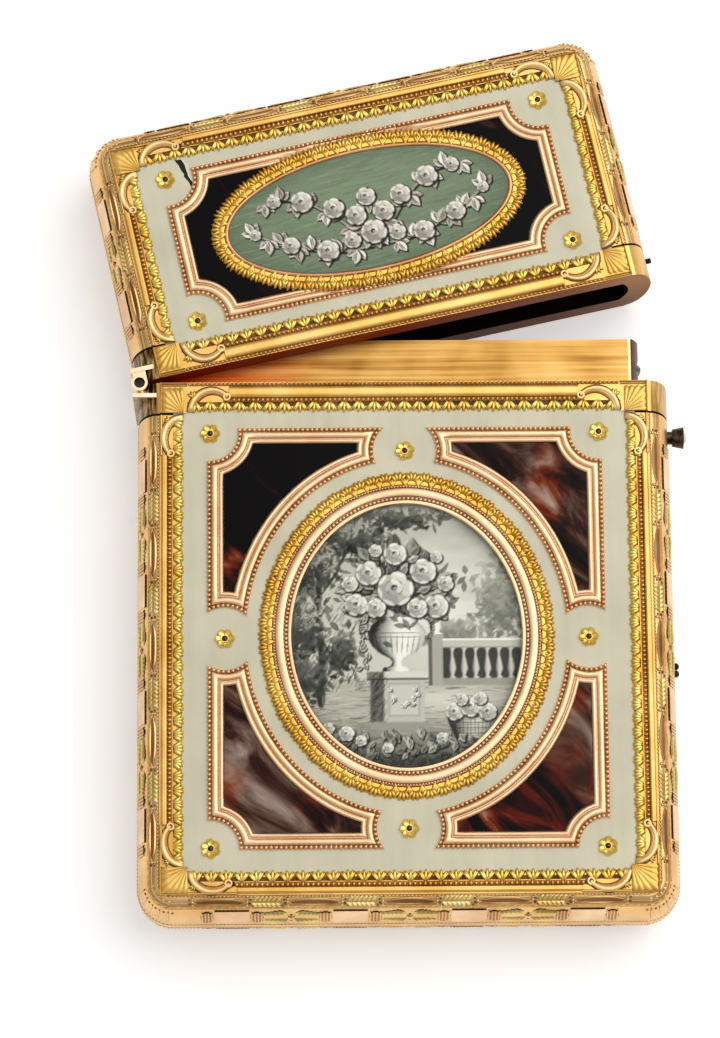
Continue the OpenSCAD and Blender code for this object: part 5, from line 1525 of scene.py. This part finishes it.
def ivory_crack():
    """An old open crack across the corner of the lid's front ivory, black inside with grime and painted
    shade, with pale broken edges.
    """
    left = ((-20.35, -24.8), (-20.0, -24.1), (-19.85, -23.45), (-19.6, -22.9), (-19.72, -22.72),
            (-19.3, -21.9), (-19.12, -21.2))
    widths = (0.78, 0.7, 0.58, 0.42, 0.5, 0.4, 0.3)
    z = IVORY_Z + 0.008
    points = []
    edges = []
    for (x, y), w in zip(left, widths):
        points += [(x, y, z), (x + w, y + 0.06, z)]
        edges += [(x + w, y + 0.06, z + 0.004), (x + w + 0.13, y + 0.06, z + 0.004)]
    faces = [(2 * k, 2 * k + 1, 2 * k + 3, 2 * k + 2) for k in range(len(left) - 1)]
    parts = [(np.array(points), faces, 0), (np.array(edges), faces, 1)]
    settle("lid_front_ivory_crack", parts, [crack_grime_and_shade, broken_ivory], "lid")


# Dressing the model

for half in ("base", "lid"):
    leaf_border(half)
    corner_castings(half)
    rail_beads(half)
    oval_leaves(half)
    rosettes(half)
    chasing(half)
oval_moulding()
lid_rim()
spandrel_frames()
lid_panel_frame()
button_mount()
ivory_crack()
pictures = (("base", grisaille(), (13.2, 15.35), PLAQUE_Z + 0.02, base_paint),
            ("lid", sage_garland(), (16.4, 7.0), LID_LAYER_Z + 0.115, lid_paint))
for side in ("front", "back"):
    for half, picture, oval, z, finish in pictures:
        name = f"{half}_{side}_painting"
        painting(name, half, picture, oval, z, finish, side == "back")

node_finishes = {
    "base_carcass": wood, "lid_carcass": walnut_in_painted_shade, "base_lining": lining_gold, "base_side_band": side_gold,
    "lid_side_band": side_gold, "base_collar": base_collar_gold, "lid_collar": lid_collar_gold,
    "base_glasses": crown_glass, "base_frame_pins": steel, "lid_frame_pins": steel,
    "base_hinge_leaf": hinge_gold, "lid_hinge_leaf": hinge_gold, "hinge_pin": steel, "side_stud": steel,
    "lid_keeper_pin": steel, "push_button": silver, "catch_spring": spring_steel, "catch_rivet": steel,
    "memo_leaves": memo_ivory, "leaf_rivet": pencil_gold, "pencil": pencil_gold}
for half in ("base", "lid"):
    for side in ("front", "back"):
        node_finishes[f"{half}_{side}_frame"] = rail_gold
        node_finishes[f"{half}_{side}_ivory"] = face_ivory[half]
        node_finishes[f"{half}_{side}_plaque"] = memo_ivory
        shell = "spandrel_shells" if half == "base" else "panel_shell"
        node_finishes[f"{half}_{side}_{shell}"] = shell_finish
for name, finish in node_finishes.items():
    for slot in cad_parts[name].material_slots:
        slot.material = finish

# Floor, light and camera

FLOOR_GLOW = 0.34
KEY_PLACE = (0.30, 0.16, 0.55)
KEY_AIM = (0.30, 0.18, 0.55)
# The camera's turns in degrees, its place in millimetres and its focal length in the photo's pixels
CAMERA_TURNS = (-13.438, 0.802, 0.549)
CAMERA_PLACE = (-4.853, -14.088, 479.93)
FOCAL_LENGTH = 4200
PHOTO_HEIGHT = 1038
SENSOR = 36

bpy.ops.object.select_all(action="DESELECT")
bpy.ops.mesh.primitive_plane_add(size=6, location=(0, 0, -FLOOR_DROP * MM))
floor = bpy.context.object
floor.name = "floor"
floor_paper, tree, shader, at = start("white_paper", Roughness=0.9, Emission_Color=linear("#ffffff"))
fibres = add(tree, "TexNoise", {"Vector": at, "Scale": 1 / (30 * MM), "Detail": 2.0})
paper = add(tree, "ValToRGB", {0: fibres}, ((0.3, "#f4f3f2"), (0.7, "#f8f7f6")))
rays = add(tree, "LightPath").outputs
seen = add(tree, "Math", {0: rays["Is Camera Ray"], 1: rays["Is Glossy Ray"]}, operation="MAXIMUM")
through = add(tree, "Math", {0: seen, 1: rays["Is Transmission Ray"]}, operation="MAXIMUM")
glow = add(tree, "MapRange", {0: through, 4: FLOOR_GLOW})
feed(shader, {"Base Color": paper, "Emission Strength": glow})
floor.data.materials.append(floor_paper)

world = bpy.data.worlds.new("studio")
bpy.context.scene.world = world
world.use_nodes = True
sky = world.node_tree
direction = add(sky, "TexCoord").outputs["Generated"]
up = add(sky, "SeparateXYZ", {0: direction}).outputs["Z"]
level = add(sky, "ValToRGB", {0: up},
            ((0.0, "#8c8c8c"), (1.0, "#ffffff"), (0.35, "#b4b4b4"), (0.7, "#e6e6e6")))
feed(sky.nodes["Background"], {"Color": level, "Strength": 0.7})

bpy.ops.object.light_add(type="AREA", location=KEY_PLACE)
key = bpy.context.object
key.data.shape = "DISK"
key.data.size = 0.75
key.data.energy = 2.4
key.rotation_euler = Vector(KEY_AIM).to_track_quat("Z", "Y").to_euler()

rx, ry, rz = (math.radians(v) for v in CAMERA_TURNS)
turned = Matrix.Rotation(rx, 3, "X") @ Matrix.Rotation(ry, 3, "Y") @ Matrix.Rotation(rz, 3, "Z")
eye = turned.transposed() @ Vector(CAMERA_PLACE) + Vector((0, MOUTH_RAIL / 2, CREST_Z))
lens = bpy.data.cameras.new("camera")
lens.sensor_width = SENSOR
lens.lens = FOCAL_LENGTH / PHOTO_HEIGHT * SENSOR
lens.clip_start = 0.01
camera = bpy.data.objects.new("camera", lens)
bpy.context.collection.objects.link(camera)
camera.matrix_world = Matrix.Translation(eye * MM) @ turned.transposed().to_4x4()
scene = bpy.context.scene
scene.camera = camera
scene.view_settings.view_transform = "Standard"
